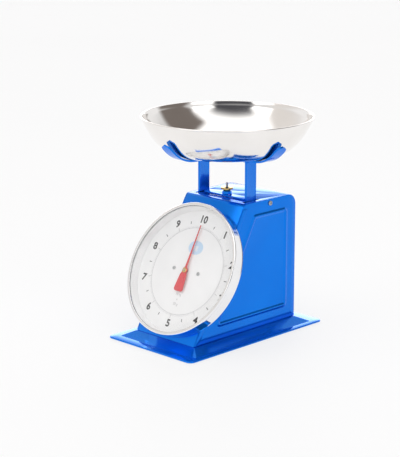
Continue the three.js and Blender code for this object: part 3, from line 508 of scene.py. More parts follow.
def turned(name, profile, material, place, segments=96):
    """A lathe piece from (radius, height) points. It closes on the axis or on itself."""
    on_axis = profile[0][0] == 0 and profile[-1][0] == 0
    middle = profile[1:-1] if on_axis else profile
    points = []
    for radius, height in middle:
        for step in range(segments):
            angle = TAU * step / segments
            points.append((radius * math.cos(angle), radius * math.sin(angle), height))
    rows = len(middle)
    pairs = [(row, (row + 1) % rows) for row in range(rows - 1 if on_axis else rows)]
    faces = bands(pairs, segments)
    if on_axis:
        for end, row in ((0, 0), (-1, rows - 1)):
            points.append((0, 0, profile[end][1]))
            tip = len(points) - 1
            for step in range(segments):
                after = (step + 1) % segments
                faces.append((tip, row * segments + after, row * segments + step))
    return mesh_object(name, points, faces, material, place)


def lofted(name, loops, material, place=None):
    """A skin through loops of equal length, closed by a face at each end."""
    count = len(loops[0])
    points = [point for loop in loops for point in loop]
    faces = bands([(row, row + 1) for row in range(len(loops) - 1)], count)
    faces.append(tuple(range(count)))
    start = (len(loops) - 1) * count
    faces.append(tuple(range(start, start + count)))
    return mesh_object(name, points, faces, material, place)


def offset_line(points, distance):
    """A polyline moved to its left by the distance."""
    moved = []
    last = len(points) - 1
    for index, point in enumerate(points):
        here = Vector(point)
        came = (here - Vector(points[index - 1])).normalized() if index else None
        goes = (Vector(points[index + 1]) - here).normalized() if index < last else None
        came, goes = came or goes, goes or came
        mitre = Vector((-came.y, came.x)) + Vector((-goes.y, goes.x))
        moved.append(tuple(here + mitre * (2 / mitre.length_squared) * distance))
    return moved


def bent_sheet(name, path, thickness, half_width, material, to_space, place=None):
    """Sheet metal of the given width along a path; to_space maps (u, v, across) to x, y, z."""
    outline = [*path, *reversed(offset_line(path, thickness))]
    loops = [[to_space(u, v, side * half_width) for u, v in outline] for side in (-1, 1)]
    return lofted(name, loops, material, place)


def side_view(u, v, across):
    return (across, u, v)


def front_view(u, v, across):
    return (u, across, v)


def combine(obj, operation, *others):
    """Cuts the others out of the object, or joins them to it, and removes them."""
    for other in others:
        boolean = obj.modifiers.new("combine", "BOOLEAN")
        boolean.operation = operation
        boolean.solver = "EXACT"
        boolean.object = other
    bake_modifiers(obj)
    for other in others:
        bpy.data.objects.remove(other)


def drill(radius, height):
    """A cutter for a round hole on the column's axis."""
    profile = [(0, -6), (radius, -6), (radius, 6), (0, 6)]
    cutter = turned("drill", profile, blue_enamel, on_column(height), 32)
    face_out(cutter)
    return cutter


def box_loop(half, low_y, high_y, radius, height):
    """A level rectangle with rounded corners, symmetrical about the middle plane."""
    outline = [
        (half, low_y, radius), (half, high_y, radius), (-half, high_y, radius), (-half, low_y, radius),
    ]
    return [(x, y, height) for x, y in closed_rounded(outline, 10)]


def block(name, size, centre, material):
    half = Vector(size) / 2
    low, high = Vector(centre) - half, Vector(centre) + half
    loops = [
        [(low.x, low.y, z), (high.x, low.y, z), (high.x, high.y, z), (low.x, high.y, z)]
        for z in (low.z, high.z)
    ]
    return lofted(name, loops, material)


# ---------- geometry trees for what repeats ----------
def geometry_tree(name, inputs):
    """A new tree with named inputs, of which the first is the object's own geometry."""
    group = bpy.data.node_groups.new(name, "GeometryNodeTree")
    rows = [("Geometry", "NodeSocketGeometry", None), *inputs, ("Material", "NodeSocketMaterial", None)]
    interface(group, rows, [("Geometry", "NodeSocketGeometry")])
    tree = Tree(group)
    return group, tree, tree.add("NodeGroupInput").outputs, tree.add("NodeGroupOutput").inputs


def close_tree(tree, given, result, geometry):
    """Every tree ends in real geometry with its material."""
    real = tree.add("GeometryNodeRealizeInstances", {"Geometry": geometry})
    painted = tree.out("GeometryNodeSetMaterial", {
        "Geometry": real.outputs[0], "Material": given["Material"],
    })
    tree.feed(result["Geometry"], painted)


def grow(name, group, material, place=None, points=((0, 0, 0),), edges=(), **values):
    """Runs a geometry tree once on points in millimetres and keeps the plain mesh, in metres."""
    mesh = bpy.data.meshes.new(name)
    mesh.from_pydata([Vector(point) for point in points], list(edges), [])
    obj = new_object(name, mesh)
    modifier = obj.modifiers.new(group.name, "NODES")
    modifier.node_group = group
    items = group.interface.items_tree
    sockets = {item.name: item.identifier for item in items if item.in_out == "INPUT"}
    for key, value in {**values, "Material": material}.items():
        modifier[sockets[key.replace("_", " ")]] = value
    bake_modifiers(obj)
    matrix = place or Matrix.Identity(4)
    obj.data.transform(Matrix.Scale(MM, 4) @ matrix)
    return obj


def make_mark_ring():
    """Bars set round a circle, each pointing at the centre. Places 0, N, 2N of Bare Every stay bare."""
    group, tree, given, result = geometry_tree("mark_ring", [
        ("Count", WHOLE, 10), ("Radius", FLOAT, 80.0), ("Bar Size", VECTOR, (4, 1, 0.1)),
        ("Bare Every", WHOLE, 1000), ("Start Angle", FLOAT, 0.0),
    ])
    circle = tree.add("GeometryNodeMeshCircle", {"Vertices": given["Count"], "Radius": given["Radius"]})
    index = tree.add("GeometryNodeInputIndex").outputs[0]
    turn = tree.math("MULTIPLY", tree.math("DIVIDE", index, given["Count"]), TAU)
    aim = tree.out("ShaderNodeCombineXYZ", {"Z": turn})
    wanted = tree.math("GREATER_THAN", tree.math("MODULO", index, given["Bare Every"]), 0.5)
    bar = tree.out("GeometryNodeMeshCube", {"Size": given["Bar Size"]})
    bars = tree.out("GeometryNodeInstanceOnPoints", {
        "Points": circle.outputs[0], "Instance": bar, "Rotation": aim,
        "Selection": wanted,
    })
    start = tree.out("ShaderNodeCombineXYZ", {"Z": given["Start Angle"]})
    whole = tree.out("GeometryNodeTransform", {
        "Geometry": bars, "Rotation": start,
    })
    close_tree(tree, given, result, whole)
    return group


def make_helix():
    """Wire wound round the Z axis, for threads and springs."""
    group, tree, given, result = geometry_tree("helix", [
        ("Turns", FLOAT, 8.0), ("Radius", FLOAT, 6.0), ("Height", FLOAT, 40.0), ("Wire", FLOAT, 1.0),
        ("Steps", WHOLE, 24), ("Sides", WHOLE, 8),
    ])
    path = tree.out("GeometryNodeCurveSpiral", {
        "Resolution": given["Steps"], "Rotations": given["Turns"], "Start Radius": given["Radius"],
        "End Radius": given["Radius"], "Height": given["Height"],
    })
    section = tree.out("GeometryNodeCurvePrimitiveCircle", {
        "Resolution": given["Sides"], "Radius": given["Wire"],
    })
    wire = tree.out("GeometryNodeCurveToMesh", {
        "Curve": path, "Profile Curve": section, "Fill Caps": True,
    })
    close_tree(tree, given, result, wire)
    return group


def make_lathe():
    """Spins an edge profile, drawn as (radius, -height), round the Z axis."""
    group, tree, given, result = geometry_tree("lathe", [
        ("Segments", WHOLE, 96), ("Axis Hole", FLOAT, 0.001), ("Weld", FLOAT, 0.01),
    ])
    profile = tree.add("GeometryNodeMeshToCurve", {"Mesh": given["Geometry"]})
    path = tree.out("GeometryNodeCurvePrimitiveCircle", {
        "Resolution": given["Segments"], "Radius": given["Axis Hole"],
    })
    skin = tree.out("GeometryNodeCurveToMesh", {
        "Curve": path, "Profile Curve": profile.outputs[0],
    })
    welded = tree.out("GeometryNodeMergeByDistance", {
        "Geometry": skin, "Distance": given["Weld"],
    })
    close_tree(tree, given, result, welded)
    return group


def make_fastener_set():
    """The same fastener on every point, its +Z turned to the aim."""
    group, tree, given, result = geometry_tree("fastener_set", [
        ("Fastener", "NodeSocketObject", None), ("Aim", VECTOR, (0, 0, 1)),
    ])
    fastener = tree.add("GeometryNodeObjectInfo", {"Object": given["Fastener"]})
    aim = tree.add("FunctionNodeAlignRotationToVector", {"Vector": given["Aim"]}, axis="Z")
    placed = tree.out("GeometryNodeInstanceOnPoints", {
        "Points": given["Geometry"], "Instance": fastener.outputs["Geometry"],
        "Rotation": aim.outputs[0],
    })
    close_tree(tree, given, result, placed)
    return group


mark_ring = make_mark_ring()
helix = make_helix()
lathe = make_lathe()
fastener_set = make_fastener_set()


# ---------- bowl ----------
BOWL_FLAT = 62.0
BOWL_WALL = 0.8
BEAD_RADIUS = 1.5
BOWL_SPIN = 160
BOWL_RIM = (bowl_high.x - bowl_low.x) / 2
BOWL_DEPTH = bowl_high.z - bowl_low.z


def bowl_skin(radius):
    """Height of the outer skin above the bottom, and its slope."""
    span = BOWL_RIM - BOWL_FLAT
    share = max(radius - BOWL_FLAT, 0) / span
    return BOWL_DEPTH * share ** 3, 3 * BOWL_DEPTH * share ** 2 / span


def beside_bowl(radius, distance):
    """A point the given distance outside the skin, as (radius, height)."""
    height, slope = bowl_skin(radius)
    length = math.hypot(1, slope)
    return radius + distance * slope / length, height - distance / length


def add_bowl():
    edge = BOWL_RIM - 2 * BEAD_RADIUS
    radii = [BOWL_FLAT * step / 4 for step in range(1, 5)]
    radii += [BOWL_FLAT + (edge - BOWL_FLAT) * step / 30 for step in range(1, 31)]
    outer = [(0, 0)] + [(radius, bowl_skin(radius)[0]) for radius in radii]
    inner = [beside_bowl(radius, -BOWL_WALL) for radius in radii]
    bead_x, bead_z = BOWL_RIM - BEAD_RADIUS, BOWL_DEPTH - BEAD_RADIUS
    bead = []
    for step in range(15):
        angle = math.radians(-100 + 250 * step / 14)
        bead.append((bead_x + BEAD_RADIUS * math.cos(angle), bead_z + BEAD_RADIUS * math.sin(angle)))
    profile = [*outer, *bead, *reversed(inner), (0, BOWL_WALL)]
    points = [(radius, -height, 0) for radius, height in profile]
    edges = [(index, index + 1) for index in range(len(profile) - 1)]
    obj = grow(
        "weighing_bowl", lathe, bowl_steel, on_column(bowl_low.z), points, edges, Segments=BOWL_SPIN,
    )
    carry(obj, "bowl_body", "stainless", "bowl", smooth_angle=50)


# ---------- seat, posts and rivets ----------
SEAT_THICKNESS = 3.0
SEAT_WIDTH = 22.0
SEAT_SPREAD = 4.6
SEAT_TURN = math.radians(-5)
SEAT_GAP = 0.3
SEAT_END = BOWL_RIM - 15.0


def arm_line(steps=26):
    """The top face of one arm, from the flat to the tip, as (radius, height) points."""
    start = BOWL_FLAT - 4
    line = []
    for step in range(steps + 1):
        share = step / steps
        radius = start + (SEAT_END - start) * share
        line.append(beside_bowl(radius, SEAT_GAP + SEAT_SPREAD * share ** 2))
    return line


def seat_arm(name, angle):
    """A bar across the seat with a round tip at each end, bent up along the bowl."""
    half = SEAT_WIDTH / 2
    arm = arm_line()
    top = [(-radius, height) for radius, height in reversed(arm)] + [(0, -SEAT_GAP)] + arm
    lengths = [0.0]
    for first, second in zip(top, top[1:]):
        lengths.append(lengths[-1] + math.dist(first, second))
    total = lengths[-1]
    bottom = offset_line(top, -SEAT_THICKNESS)
    points, faces = [], []
    across = 12
    for index, length in enumerate(lengths):
        into = min(length, total - length)
        reach = half
        if into < half:
            reach = math.sqrt(max(half ** 2 - (half - into) ** 2, 0.3))
        for column in range(across + 1):
            y = reach * (2 * column / across - 1)
            points.append((top[index][0], y, top[index][1]))
            points.append((bottom[index][0], y, bottom[index][1]))
    row = 2 * (across + 1)
    rows = len(lengths)
    for index in range(rows - 1):
        here, there = index * row, (index + 1) * row
        for column in range(across):
            a, b = 2 * column, 2 * column + 2
            faces.append((here + a, there + a, there + b, here + b))
            faces.append((here + a + 1, here + b + 1, there + b + 1, there + a + 1))
        faces.append((here, here + 1, there + 1, there))
        last = 2 * across
        faces.append((here + last, there + last, there + last + 1, here + last + 1))
    for index in (0, rows - 1):
        here = index * row
        for column in range(across):
            a, b = 2 * column, 2 * column + 2
            faces.append((here + a, here + b, here + b + 1, here + a + 1))
    place = on_column(bowl_low.z) @ Matrix.Rotation(SEAT_TURN + angle, 4, "Z")
    arm_object = mesh_object(name, points, faces, blue_enamel, place)
    face_out(arm_object)
    return arm_object


def add_seat():
    along = seat_arm("seat_cross", 0)
    across = seat_arm("seat_across", math.radians(90))
    combine(along, "UNION", across)
    soften(along, 0.7, 3, 40)
    carry(along, "load_column", "blue_paint", "bowl_spider")


POST_BEND = 5.0
POST_THICKNESS = 3.0


def add_posts():
    for side, sign in (("left", -1), ("right", 1)):
        low, high = corners(f"post_{side}")
        outer = max(abs(low.x), abs(high.x))
        foot_end = min(abs(low.x), abs(high.x))
        path = rounded([(outer, low.z, 0), (outer, high.z, POST_BEND), (foot_end, high.z, 0)], 10)
        path = [(sign * x, z) for x, z in path]
        half = (high.y - low.y) / 2
        post = bent_sheet(
            f"post_{side}_bar", path, POST_THICKNESS * sign, half, blue_enamel, front_view, on_column(0),
        )
        soften(post, 0.55, 3)
        carry(post, "load_column", "blue_paint", f"post_{side}")


# ---------- screws and rivets ----------
def screw_head(name, radius, height, shank_radius, shank_length):
    """A pan-head screw with a cross recess. Its seat is at z = 0."""
    dome = [
        (0, -shank_length), (shank_radius * 0.8, -shank_length), (shank_radius, -shank_length + 0.8),
        (shank_radius, 0), (radius - 0.2, 0), (radius, 0.2), (radius, height * 0.4),
        (radius * 0.93, height * 0.68), (radius * 0.78, height * 0.88), (radius * 0.5, height),
        (0, height),
    ]
    head = turned(name, dome, plated_steel, None, 40)
    face_out(head)
    slot_length, slot_width, slot_depth = radius * 1.15, radius * 0.26, height * 0.55
    cutters = [
        block("slot", size, (0, 0, height), plated_steel)
        for size in (
            (slot_length, slot_width, 2 * slot_depth), (slot_width, slot_length, 2 * slot_depth),
        )
    ]
    for cutter in cutters:
        face_out(cutter)
    combine(head, "DIFFERENCE", *cutters)
    return head


def place_fasteners(name, fastener, points, aim, material, body, slot, *replaced):
    obj = grow(name, fastener_set, material, points=points, Fastener=fastener, Aim=Vector(aim))
    carry(obj, body, slot, *replaced, smooth_angle=30)


def box_centre(node):
    low, high = corners(node)
    return (low + high) / 2


def in_tree_scale(obj):
    """A prototype for the fastener tree, which works in millimetres."""
    obj.data.transform(Matrix.Scale(1 / MM, 4))
    return obj


SIDE_SCREW = (4.0, 2.2, 1.8, 7.0)  # head radius and height, shank radius and length
DIAL_SCREW = (3.0, 1.5, 1.2, 5.0)
SCREW_INSET = 0.3
RIVET_SHANK = 2.2
RIVET_HEAD = 1.6
PRINT_FLOOR = 6.3  # level of the inner ring's foot and the dial screws' seats


def add_screws():
    side_head = in_tree_scale(screw_head("screw_pattern", *SIDE_SCREW))
    for side, sign in (("left", -1), ("right", 1)):
        centre = box_centre(f"side_screw_{side}")
        seat = (sign * (PANEL_FACE + SCREW_INSET), centre.y, centre.z)
        place_fasteners(
            f"side_screw_{side}_head", side_head, [seat], (sign, 0, 0), plated_steel,
            "root", "steel", f"side_screw_{side}",
        )
    rear = [box_centre(f"rear_screw_{side}") for side in ("left", "right")]
    points = [(centre.x, shell_high.y + SCREW_INSET, centre.z) for centre in rear]
    place_fasteners(
        "rear_screw_heads", side_head, points, (0, 1, 0), plated_steel,
        "root", "steel", "rear_screw_left", "rear_screw_right",
    )
    dial_head = in_tree_scale(screw_head("dial_screw_pattern", *DIAL_SCREW))
    points = [
        tuple(dial_place @ Vector((box_centre(f"dial_screw_{side}").x, 0, PRINT_FLOOR)))
        for side in ("left", "right")
    ]
    place_fasteners(
        "dial_screw_heads", dial_head, points, tuple(dial_out), plated_steel,
        "root", "steel", "dial_screw_left", "dial_screw_right",
    )
    for pattern in (side_head, dial_head):
        bpy.data.objects.remove(pattern)


def add_rivets():
    nodes = [f"seat_rivet_{side}_{place}" for side in ("left", "right") for place in ("inner", "outer")]
    low, high = corners(nodes[0])
    radius, length = (high.x - low.x) / 2, high.z - low.z
    shank, head = RIVET_SHANK, RIVET_HEAD
    dome = [(0, 0), (radius * 0.55, 0.12), (radius * 0.85, 0.55), (radius, 1.2), (radius, head)]
    profile = [*dome, (shank, head), (shank, length), (0, length)]
    rivet = in_tree_scale(turned("rivet_pattern", profile, blue_enamel, None, 32))
    points = [(box_centre(node).x, box_centre(node).y, low.z) for node in nodes]
    place_fasteners(
        "seat_rivets", rivet, points, (0, 0, 1), blue_enamel, "load_column", "blue_paint", *nodes,
    )
    bpy.data.objects.remove(rivet)


# ---------- housing ----------
FRONT_FOLD = 8.0
REAR_FOLD = 18.0
SHEET = 1.0


def front_line(inset=0.0):
    """The y of the sloping front at a height, moved inwards by the inset."""
    base = base_high.z
    front_at_base = dial_centre.y - (dial_centre.z - base) * slope_run
    lean = inset / math.cos(math.atan(slope_run))

    def front(z):
        return front_at_base + (z - base) * slope_run + lean

    return front


def housing_loop(insets, radii, x, steps=8):
    """A closed four-cornered loop inside the side outline, at the given x."""
    front_inset, top_inset, rear_inset, bottom_inset = insets
    front = front_line(front_inset)
    top = shell_high.z - top_inset
    rear = shell_high.y - rear_inset
    bottom = shell_low.z + bottom_inset
    outline = [
        (front(bottom), bottom, radii[0]), (rear, bottom, radii[1]),
        (rear, top, radii[2]), (front(top), top, radii[3]),
    ]
    return [(x, y, z) for y, z in closed_rounded(outline, steps)]


BEAD_INSETS = (32.0, 23.5, 24.0, 25.2)  # front, top, rear, bottom, to the bead's middle
BEAD_WIDTH = 9.6
BEAD_HEIGHT = 2.0
EDGE_EASE = 0.35


def side_panel(side, sign):
    """A flat side with a rounded bead pressed outwards round its field."""
    outside = PANEL_FACE
    inside = outside - SHEET
    rim_radii = (0.7, 0.7, REAR_FOLD, FRONT_FOLD)
    eased = tuple(max(radius - EDGE_EASE, 0.3) for radius in rim_radii)
    bead_rows = 10

    def bead_loops(surface):
        loops = []
        for row in range(bead_rows + 1):
            share = row / bead_rows
            extra = BEAD_WIDTH * (0.5 - share)
            insets = tuple(inset - extra for inset in BEAD_INSETS)
            radii = (5 + extra,) * 4
            rise = BEAD_HEIGHT * (1 - math.cos(TAU * share)) / 2
            loops.append(housing_loop(insets, radii, sign * (surface + rise)))
        return loops

    ease = (EDGE_EASE,) * 4
    third = tuple(inset * 0.5 for inset in BEAD_INSETS)
    mid_radii = (3.0, 3.0, 10.0, 6.0)
    outer = bead_loops(outside)
    inner = bead_loops(inside)
    loops = [
        *reversed(inner),
        housing_loop(third, mid_radii, sign * inside),
        housing_loop((0,) * 4, rim_radii, sign * inside),
        housing_loop((0,) * 4, rim_radii, sign * (outside - EDGE_EASE)),
        housing_loop(tuple(0.3 * e for e in ease), rim_radii, sign * (outside - 0.3 * EDGE_EASE)),
        housing_loop(ease, eased, sign * outside),
        housing_loop(third, mid_radii, sign * outside),
        *outer,
    ]
    panel = lofted(f"side_panel_{side}_skin", loops, blue_enamel)
    carry(panel, "root", "blue_paint", f"side_panel_{side}", smooth_angle=40)


HEM_WIDTH = 8.5
HEM_THICKNESS = 1.3
HEM_SETBACK = 0.5
HEM_SINK = 0.2


def add_front_hems():
    """The front sheet's folded edge, which laps over each side along the slope."""
    front = front_line(HEM_SETBACK)
    lean_width = HEM_WIDTH / math.cos(math.atan(slope_run))
    low_z = shell_low.z + 1.0
    high_z = shell_high.z - HEM_SETBACK - FRONT_FOLD * 0.9
    for side, sign in (("left", -1), ("right", 1)):
        outline = [
            (front(low_z), low_z), (front(low_z) + lean_width, low_z),
            (front(high_z) + lean_width, high_z), (front(high_z), high_z),
        ]
        loops = [
            [(sign * (PANEL_FACE + x), y, z) for y, z in outline] for x in (-HEM_SINK, HEM_THICKNESS)
        ]
        hem = lofted(f"front_hem_{side}", loops, blue_enamel)
        face_out(hem)
        soften(hem, 1.0, 5)
        carry(hem, "root", "blue_paint")


POST_SLOT = (5.6, 36.0)
ROD_HOLE = 2.9
COVER_OVERLAP = 11.0
COVER_FOOT = 6.0


def add_shell():
    front = front_line()
    top, rear = shell_high.z, shell_high.y
    rear_end = corners("rear_cover")[1].z - COVER_OVERLAP
    path = rounded([
        (front(shell_low.z), shell_low.z, 0), (front(top), top, FRONT_FOLD),
        (rear, top, REAR_FOLD), (rear, rear_end, 0),
    ], 12)
    shell = bent_sheet("housing_shell", path, -SHEET, shell_high.x, blue_enamel, side_view)
    face_out(shell)
    post_x = corners("post_right")[1].x - POST_THICKNESS / 2
    cutters = []
    for sign in (-1, 1):
        cutter = block("slot", (*POST_SLOT, 12), (sign * post_x, column_y, top), blue_enamel)
        face_out(cutter)
        soften(cutter, 2.4, 4, 60)
        cutters.append(cutter)
    combine(shell, "DIFFERENCE", *cutters, drill(ROD_HOLE, top))
    soften(shell, 0.3, 2, 50)
    carry(shell, "root", "blue_paint", "body_shell", smooth_angle=40)


def add_rear_cover():
    low, high = corners("rear_cover")
    path = rounded([(high.y, high.z, 0), (high.y, low.z, 1.6), (high.y - COVER_FOOT, low.z, 0)], 6)
    cover = bent_sheet("rear_cover_sheet", path, -SHEET, high.x, blue_enamel, side_view)
    face_out(cover)
    soften(cover, 0.3, 2, 50)
    carry(cover, "root", "blue_paint", "rear_cover", smooth_angle=40)


# ---------- base ----------
BASE_SHEET = 1.2
RIM_WIDTH_SIDE = 9.5
RIM_WIDTH_END = 16.0
BASE_RADIUS = 10.0
SLOPE_RADIUS = 8.0
CROWN_RADIUS = 3.0
CROWN_MARGIN = 0.9  # crown beyond the housing
RIM_RISE = 2.4


def add_base():
    rim_top = base_low.z + RIM_RISE
    top = base_high.z
    crown_side = base_high.x - PANEL_FACE - CROWN_MARGIN
    crown_front = front_line()(top) - base_low.y - CROWN_MARGIN
    crown_rear = base_high.y - shell_high.y - CROWN_MARGIN

    def rim_loop(inset, z):
        return box_loop(
            base_high.x - inset, base_low.y + inset, base_high.y - inset, BASE_RADIUS - inset, z,
        )

    def slope_loop(share, rise, drop=0.0):
        """Between the rim's inner edge (0) and the crown (1)."""
        side = RIM_WIDTH_SIDE + (crown_side - RIM_WIDTH_SIDE) * share
        radius = SLOPE_RADIUS + (CROWN_RADIUS - SLOPE_RADIUS) * share
        low_y = base_low.y + RIM_WIDTH_END + (crown_front - RIM_WIDTH_END) * share
        high_y = base_high.y - RIM_WIDTH_END - (crown_rear - RIM_WIDTH_END) * share
        return box_loop(base_high.x - side, low_y, high_y, radius, rim_top + (top - rim_top) * rise - drop)

    profile = (
        (1.0, 1.0), (0.965, 0.992), (0.93, 0.955), (0.6, 0.6),
        (0.3, 0.28), (0.06, 0.035), (0.02, 0.006), (-0.03, 0.0),
    )
    edge = (
        (1.2, rim_top), (0.55, rim_top - 0.18), (0.15, rim_top - 0.6), (0, rim_top - 1.1),
        (0, base_low.z + 0.15), (0.25, base_low.z), (BASE_SHEET - 0.2, base_low.z),
        (BASE_SHEET, rim_top - BASE_SHEET),
    )
    upper = [slope_loop(share, rise) for share, rise in profile]
    rim = [rim_loop(inset, z) for inset, z in edge]
    under = [slope_loop(share, rise, BASE_SHEET) for share, rise in reversed(profile)]
    plate = lofted("base_pressing", [*upper, *rim, *under], blue_enamel)
    carry(plate, "root", "blue_paint", "base_plate", smooth_angle=42)


def add_feet():
    for end in ("front", "rear"):
        for side in ("left", "right"):
            node = f"foot_{end}_{side}"
            low, high = corners(node)
            radius, height = (high.x - low.x) / 2, high.z
            profile = rounded([
                (2.2, 1.6, 0), (2.2, 0.0, 0.4), (radius - 2, 0, 0.8), (radius - 0.8, 2.2, 1.0),
                (radius, height - 2.4, 0.6), (radius, height, 0.6), (2.2, height, 0),
            ], 5)
            closed = [(0, 1.6), *profile, (0, height)]
            centre = (low + high) / 2
            pad = turned(f"{node}_pad", closed, foot_rubber, Matrix.Translation((centre.x, centre.y, 0)), 40)
            carry(pad, "root", "foot_rubber", node)


# ---------- dial ----------
CARD_RADIUS = 101.5
CARD_TOP = 6.0
CARD_SHEET = 0.8
BEZEL_FRONT = 23.2
BEZEL_ROLL = 2.9  # rolled edge outside the bezel's wall
BEZEL_LIP = 3.0  # lip inside the wall
LIP_DEPTH = 1.8
LIP_RADIUS = 105.0
WELL_RADIUS = 106.7  # what fits inside the bezel's wall
SIGHT_RADIUS = 99.0
RING_TOP = 19.3
RING_SHEET = 0.8
WINDOW_LEVELS = (19.6, 21.1)
INK = 0.05  # thickness of the printing


def add_bezel():
    outer_low, outer_high = corners("bezel_ring")
    edge = (outer_high.x - outer_low.x) / 2
    wall = edge - BEZEL_ROLL
    lip = wall - BEZEL_LIP
    front = BEZEL_FRONT
    profile = ring_profile([
        (wall - 1, 0.3, 0), (wall + 0.6, 0.3, 0.3), (wall + 0.05, 1.6, 0.8),
        (wall, front - 6.2, 1.6), (edge, front - 4.4, 1.2), (edge, front - 0.2, 2.0),
        (lip + 0.6, front, 0.9), (lip, front - LIP_DEPTH, 0.4), (wall - 1, front - LIP_DEPTH, 0.3),
    ], 7)
    ring = turned("bezel_chrome_ring", profile, bezel_chrome, dial_place, 192)
    carry(ring, "root", "chrome", "bezel_ring", smooth_angle=50)


def add_inner_ring():
    foot, lip, outer = SIGHT_RADIUS, LIP_RADIUS, WELL_RADIUS
    low, top, sheet = PRINT_FLOOR, RING_TOP, RING_SHEET
    profile = ring_profile([
        (foot, low, 0), (foot + 3, low, 0.2), (foot + 3, low + sheet, 0.2), (foot + sheet, low + sheet, 0.3),
        (lip, top - sheet, 1.2), (outer, top - sheet, 0.2), (outer, top, 0.2), (lip - sheet, top, 1.6),
    ], 6)
    ring = turned("inner_ring_skin", profile, satin_chrome, dial_place, 192)
    carry(ring, "root", "chrome", "dial_inner_ring", smooth_angle=50)


def add_window():
    radius, (low, high) = WELL_RADIUS, WINDOW_LEVELS
    profile = [(0, low), *rounded([
        (radius / 2, low, 0), (radius, low, 0.3), (radius, high, 0.3), (radius / 2, high, 0),
    ], 3), (0, high)]
    pane = turned("window_pane", profile, window_glass, dial_place, 160)
    carry(pane, "root", "glass", "dial_glass")


def add_card():
    bottom = CARD_TOP - CARD_SHEET
    bore = 4.0
    profile = rounded([
        (bore, bottom, 0), (CARD_RADIUS, bottom, 0.15), (CARD_RADIUS, CARD_TOP, 0.3), (bore, CARD_TOP, 0),
    ], 4)
    card = turned("dial_card", profile, dial_enamel, dial_place, 160)
    carry(card, "root", "dial_print", "dial_plate")


def print_text(name, text, size, centre, material, boldness):
    """Flat lettering on the dial card, centred on a point of the dial."""
    curve = bpy.data.curves.new(name, "FONT")
    curve.body = text
    curve.size = size
    curve.align_x = "CENTER"
    curve.align_y = "CENTER"
    curve.offset = boldness
    curve.extrude = INK / 2
    curve.resolution_u = 6
    source = new_object(name + "_curve", curve)
    graph = bpy.context.evaluated_depsgraph_get()
    mesh = bpy.data.meshes.new_from_object(source.evaluated_get(graph))
    bpy.data.objects.remove(source)
    xs = [vertex.co.x for vertex in mesh.vertices]
    ys = [vertex.co.y for vertex in mesh.vertices]
    middle = Vector(((min(xs) + max(xs)) / 2, (min(ys) + max(ys)) / 2, 0))
    local = Matrix.Translation(Vector((*centre, CARD_TOP + INK / 2)) - middle)
    mesh.transform(Matrix.Scale(MM, 4) @ dial_place @ local)
    mesh.materials.clear()
    mesh.materials.append(material)
    return new_object(name, mesh)


NUMBER_RADIUS = 86.0
NUMBER_SIZE = 15.6
CAPACITY = 10
BADGE_RADIUS = 11.5
BADGE_CENTRE = (3.0, 40.0)
BADGE_STRETCH = 1.35
UNIT_SIZE = 12.0
LINE_SIZE = 5.6
CIRCLE_RADIUS = 71.2
CIRCLE_WIDTH = 0.5
LINE_TOP = -40.0
LINE_STEP = 8.0
MARKS = (  # name, ink, count, radius, length, width, which stay bare
    ("half_marks", ink_black, 20, 80.5, 4.6, 1.1, 2),
    ("kilogram_marks", ink_grey, 10, 75.0, 6.0, 0.8, 1000),
    ("fine_marks", ink_grey, 200, 73.2, 2.6, 0.32, 20),
)


def on_dial(radius, share):
    """A point of the dial, clockwise from the top by a share of a full turn."""
    angle = TAU * share
    return radius * math.sin(angle), radius * math.cos(angle)


def add_printing():
    numbers = []
    for value in range(1, CAPACITY + 1):
        centre = on_dial(NUMBER_RADIUS, value / CAPACITY)
        numbers.append(print_text(f"number_{value}", str(value), NUMBER_SIZE, centre, ink_black, 0.5))
    carry(join_objects("dial_numbers", numbers), "root", "dial_print")

    lifted = dial_place @ Matrix.Translation((0, 0, CARD_TOP + INK / 2))
    for name, ink, count, radius, length, width, bare in MARKS:
        marks = grow(
            name, mark_ring, ink, lifted, Count=count, Radius=radius, Bar_Size=(length, width, INK),
            Bare_Every=bare, Start_Angle=math.pi / 2,
        )
        carry(marks, "root", "dial_print")
    inner, outer = CIRCLE_RADIUS, CIRCLE_RADIUS + CIRCLE_WIDTH
    circle_profile = [
        (inner, CARD_TOP), (outer, CARD_TOP), (outer, CARD_TOP + INK), (inner, CARD_TOP + INK),
    ]
    carry(turned("mark_circle", circle_profile, ink_grey, dial_place, 160), "root", "dial_print")

    stretched = Matrix.Translation((*BADGE_CENTRE, 0)) @ Matrix.Diagonal((BADGE_STRETCH, 1, 1, 1))
    badge_profile = [
        (0, CARD_TOP), (BADGE_RADIUS, CARD_TOP), (BADGE_RADIUS, CARD_TOP + INK), (0, CARD_TOP + INK),
    ]
    badge = turned("unit_badge", badge_profile, ink_pale_blue, dial_place @ stretched, 64)
    carry(badge, "root", "dial_print")
    unit = print_text("unit_letters", "kg", UNIT_SIZE, BADGE_CENTRE, ink_white, 0.15)
    unit.data.transform(Matrix.Translation(dial_out * INK * MM))
    carry(unit, "root", "dial_print")
    lines = [
        print_text(f"capacity_line_{row}", text, LINE_SIZE, (2.0, LINE_TOP - LINE_STEP * row), ink_grey, 0.02)
        for row, text in enumerate(("10 kg", "x", "50 g"))
    ]
    carry(join_objects("capacity_letters", lines), "root", "dial_print")


# ---------- pointer ----------
BLADE_LEVEL = 9.0
BLADE_THICKNESS = 0.8
NEEDLE_LENGTH = 76.0
TAIL_LENGTH = 35.0
HUB_BORE = 1.8
HUB_SLEEVE = 2.5
HUB_FLANGE = 4.2
HUB_FOOT = 7.8


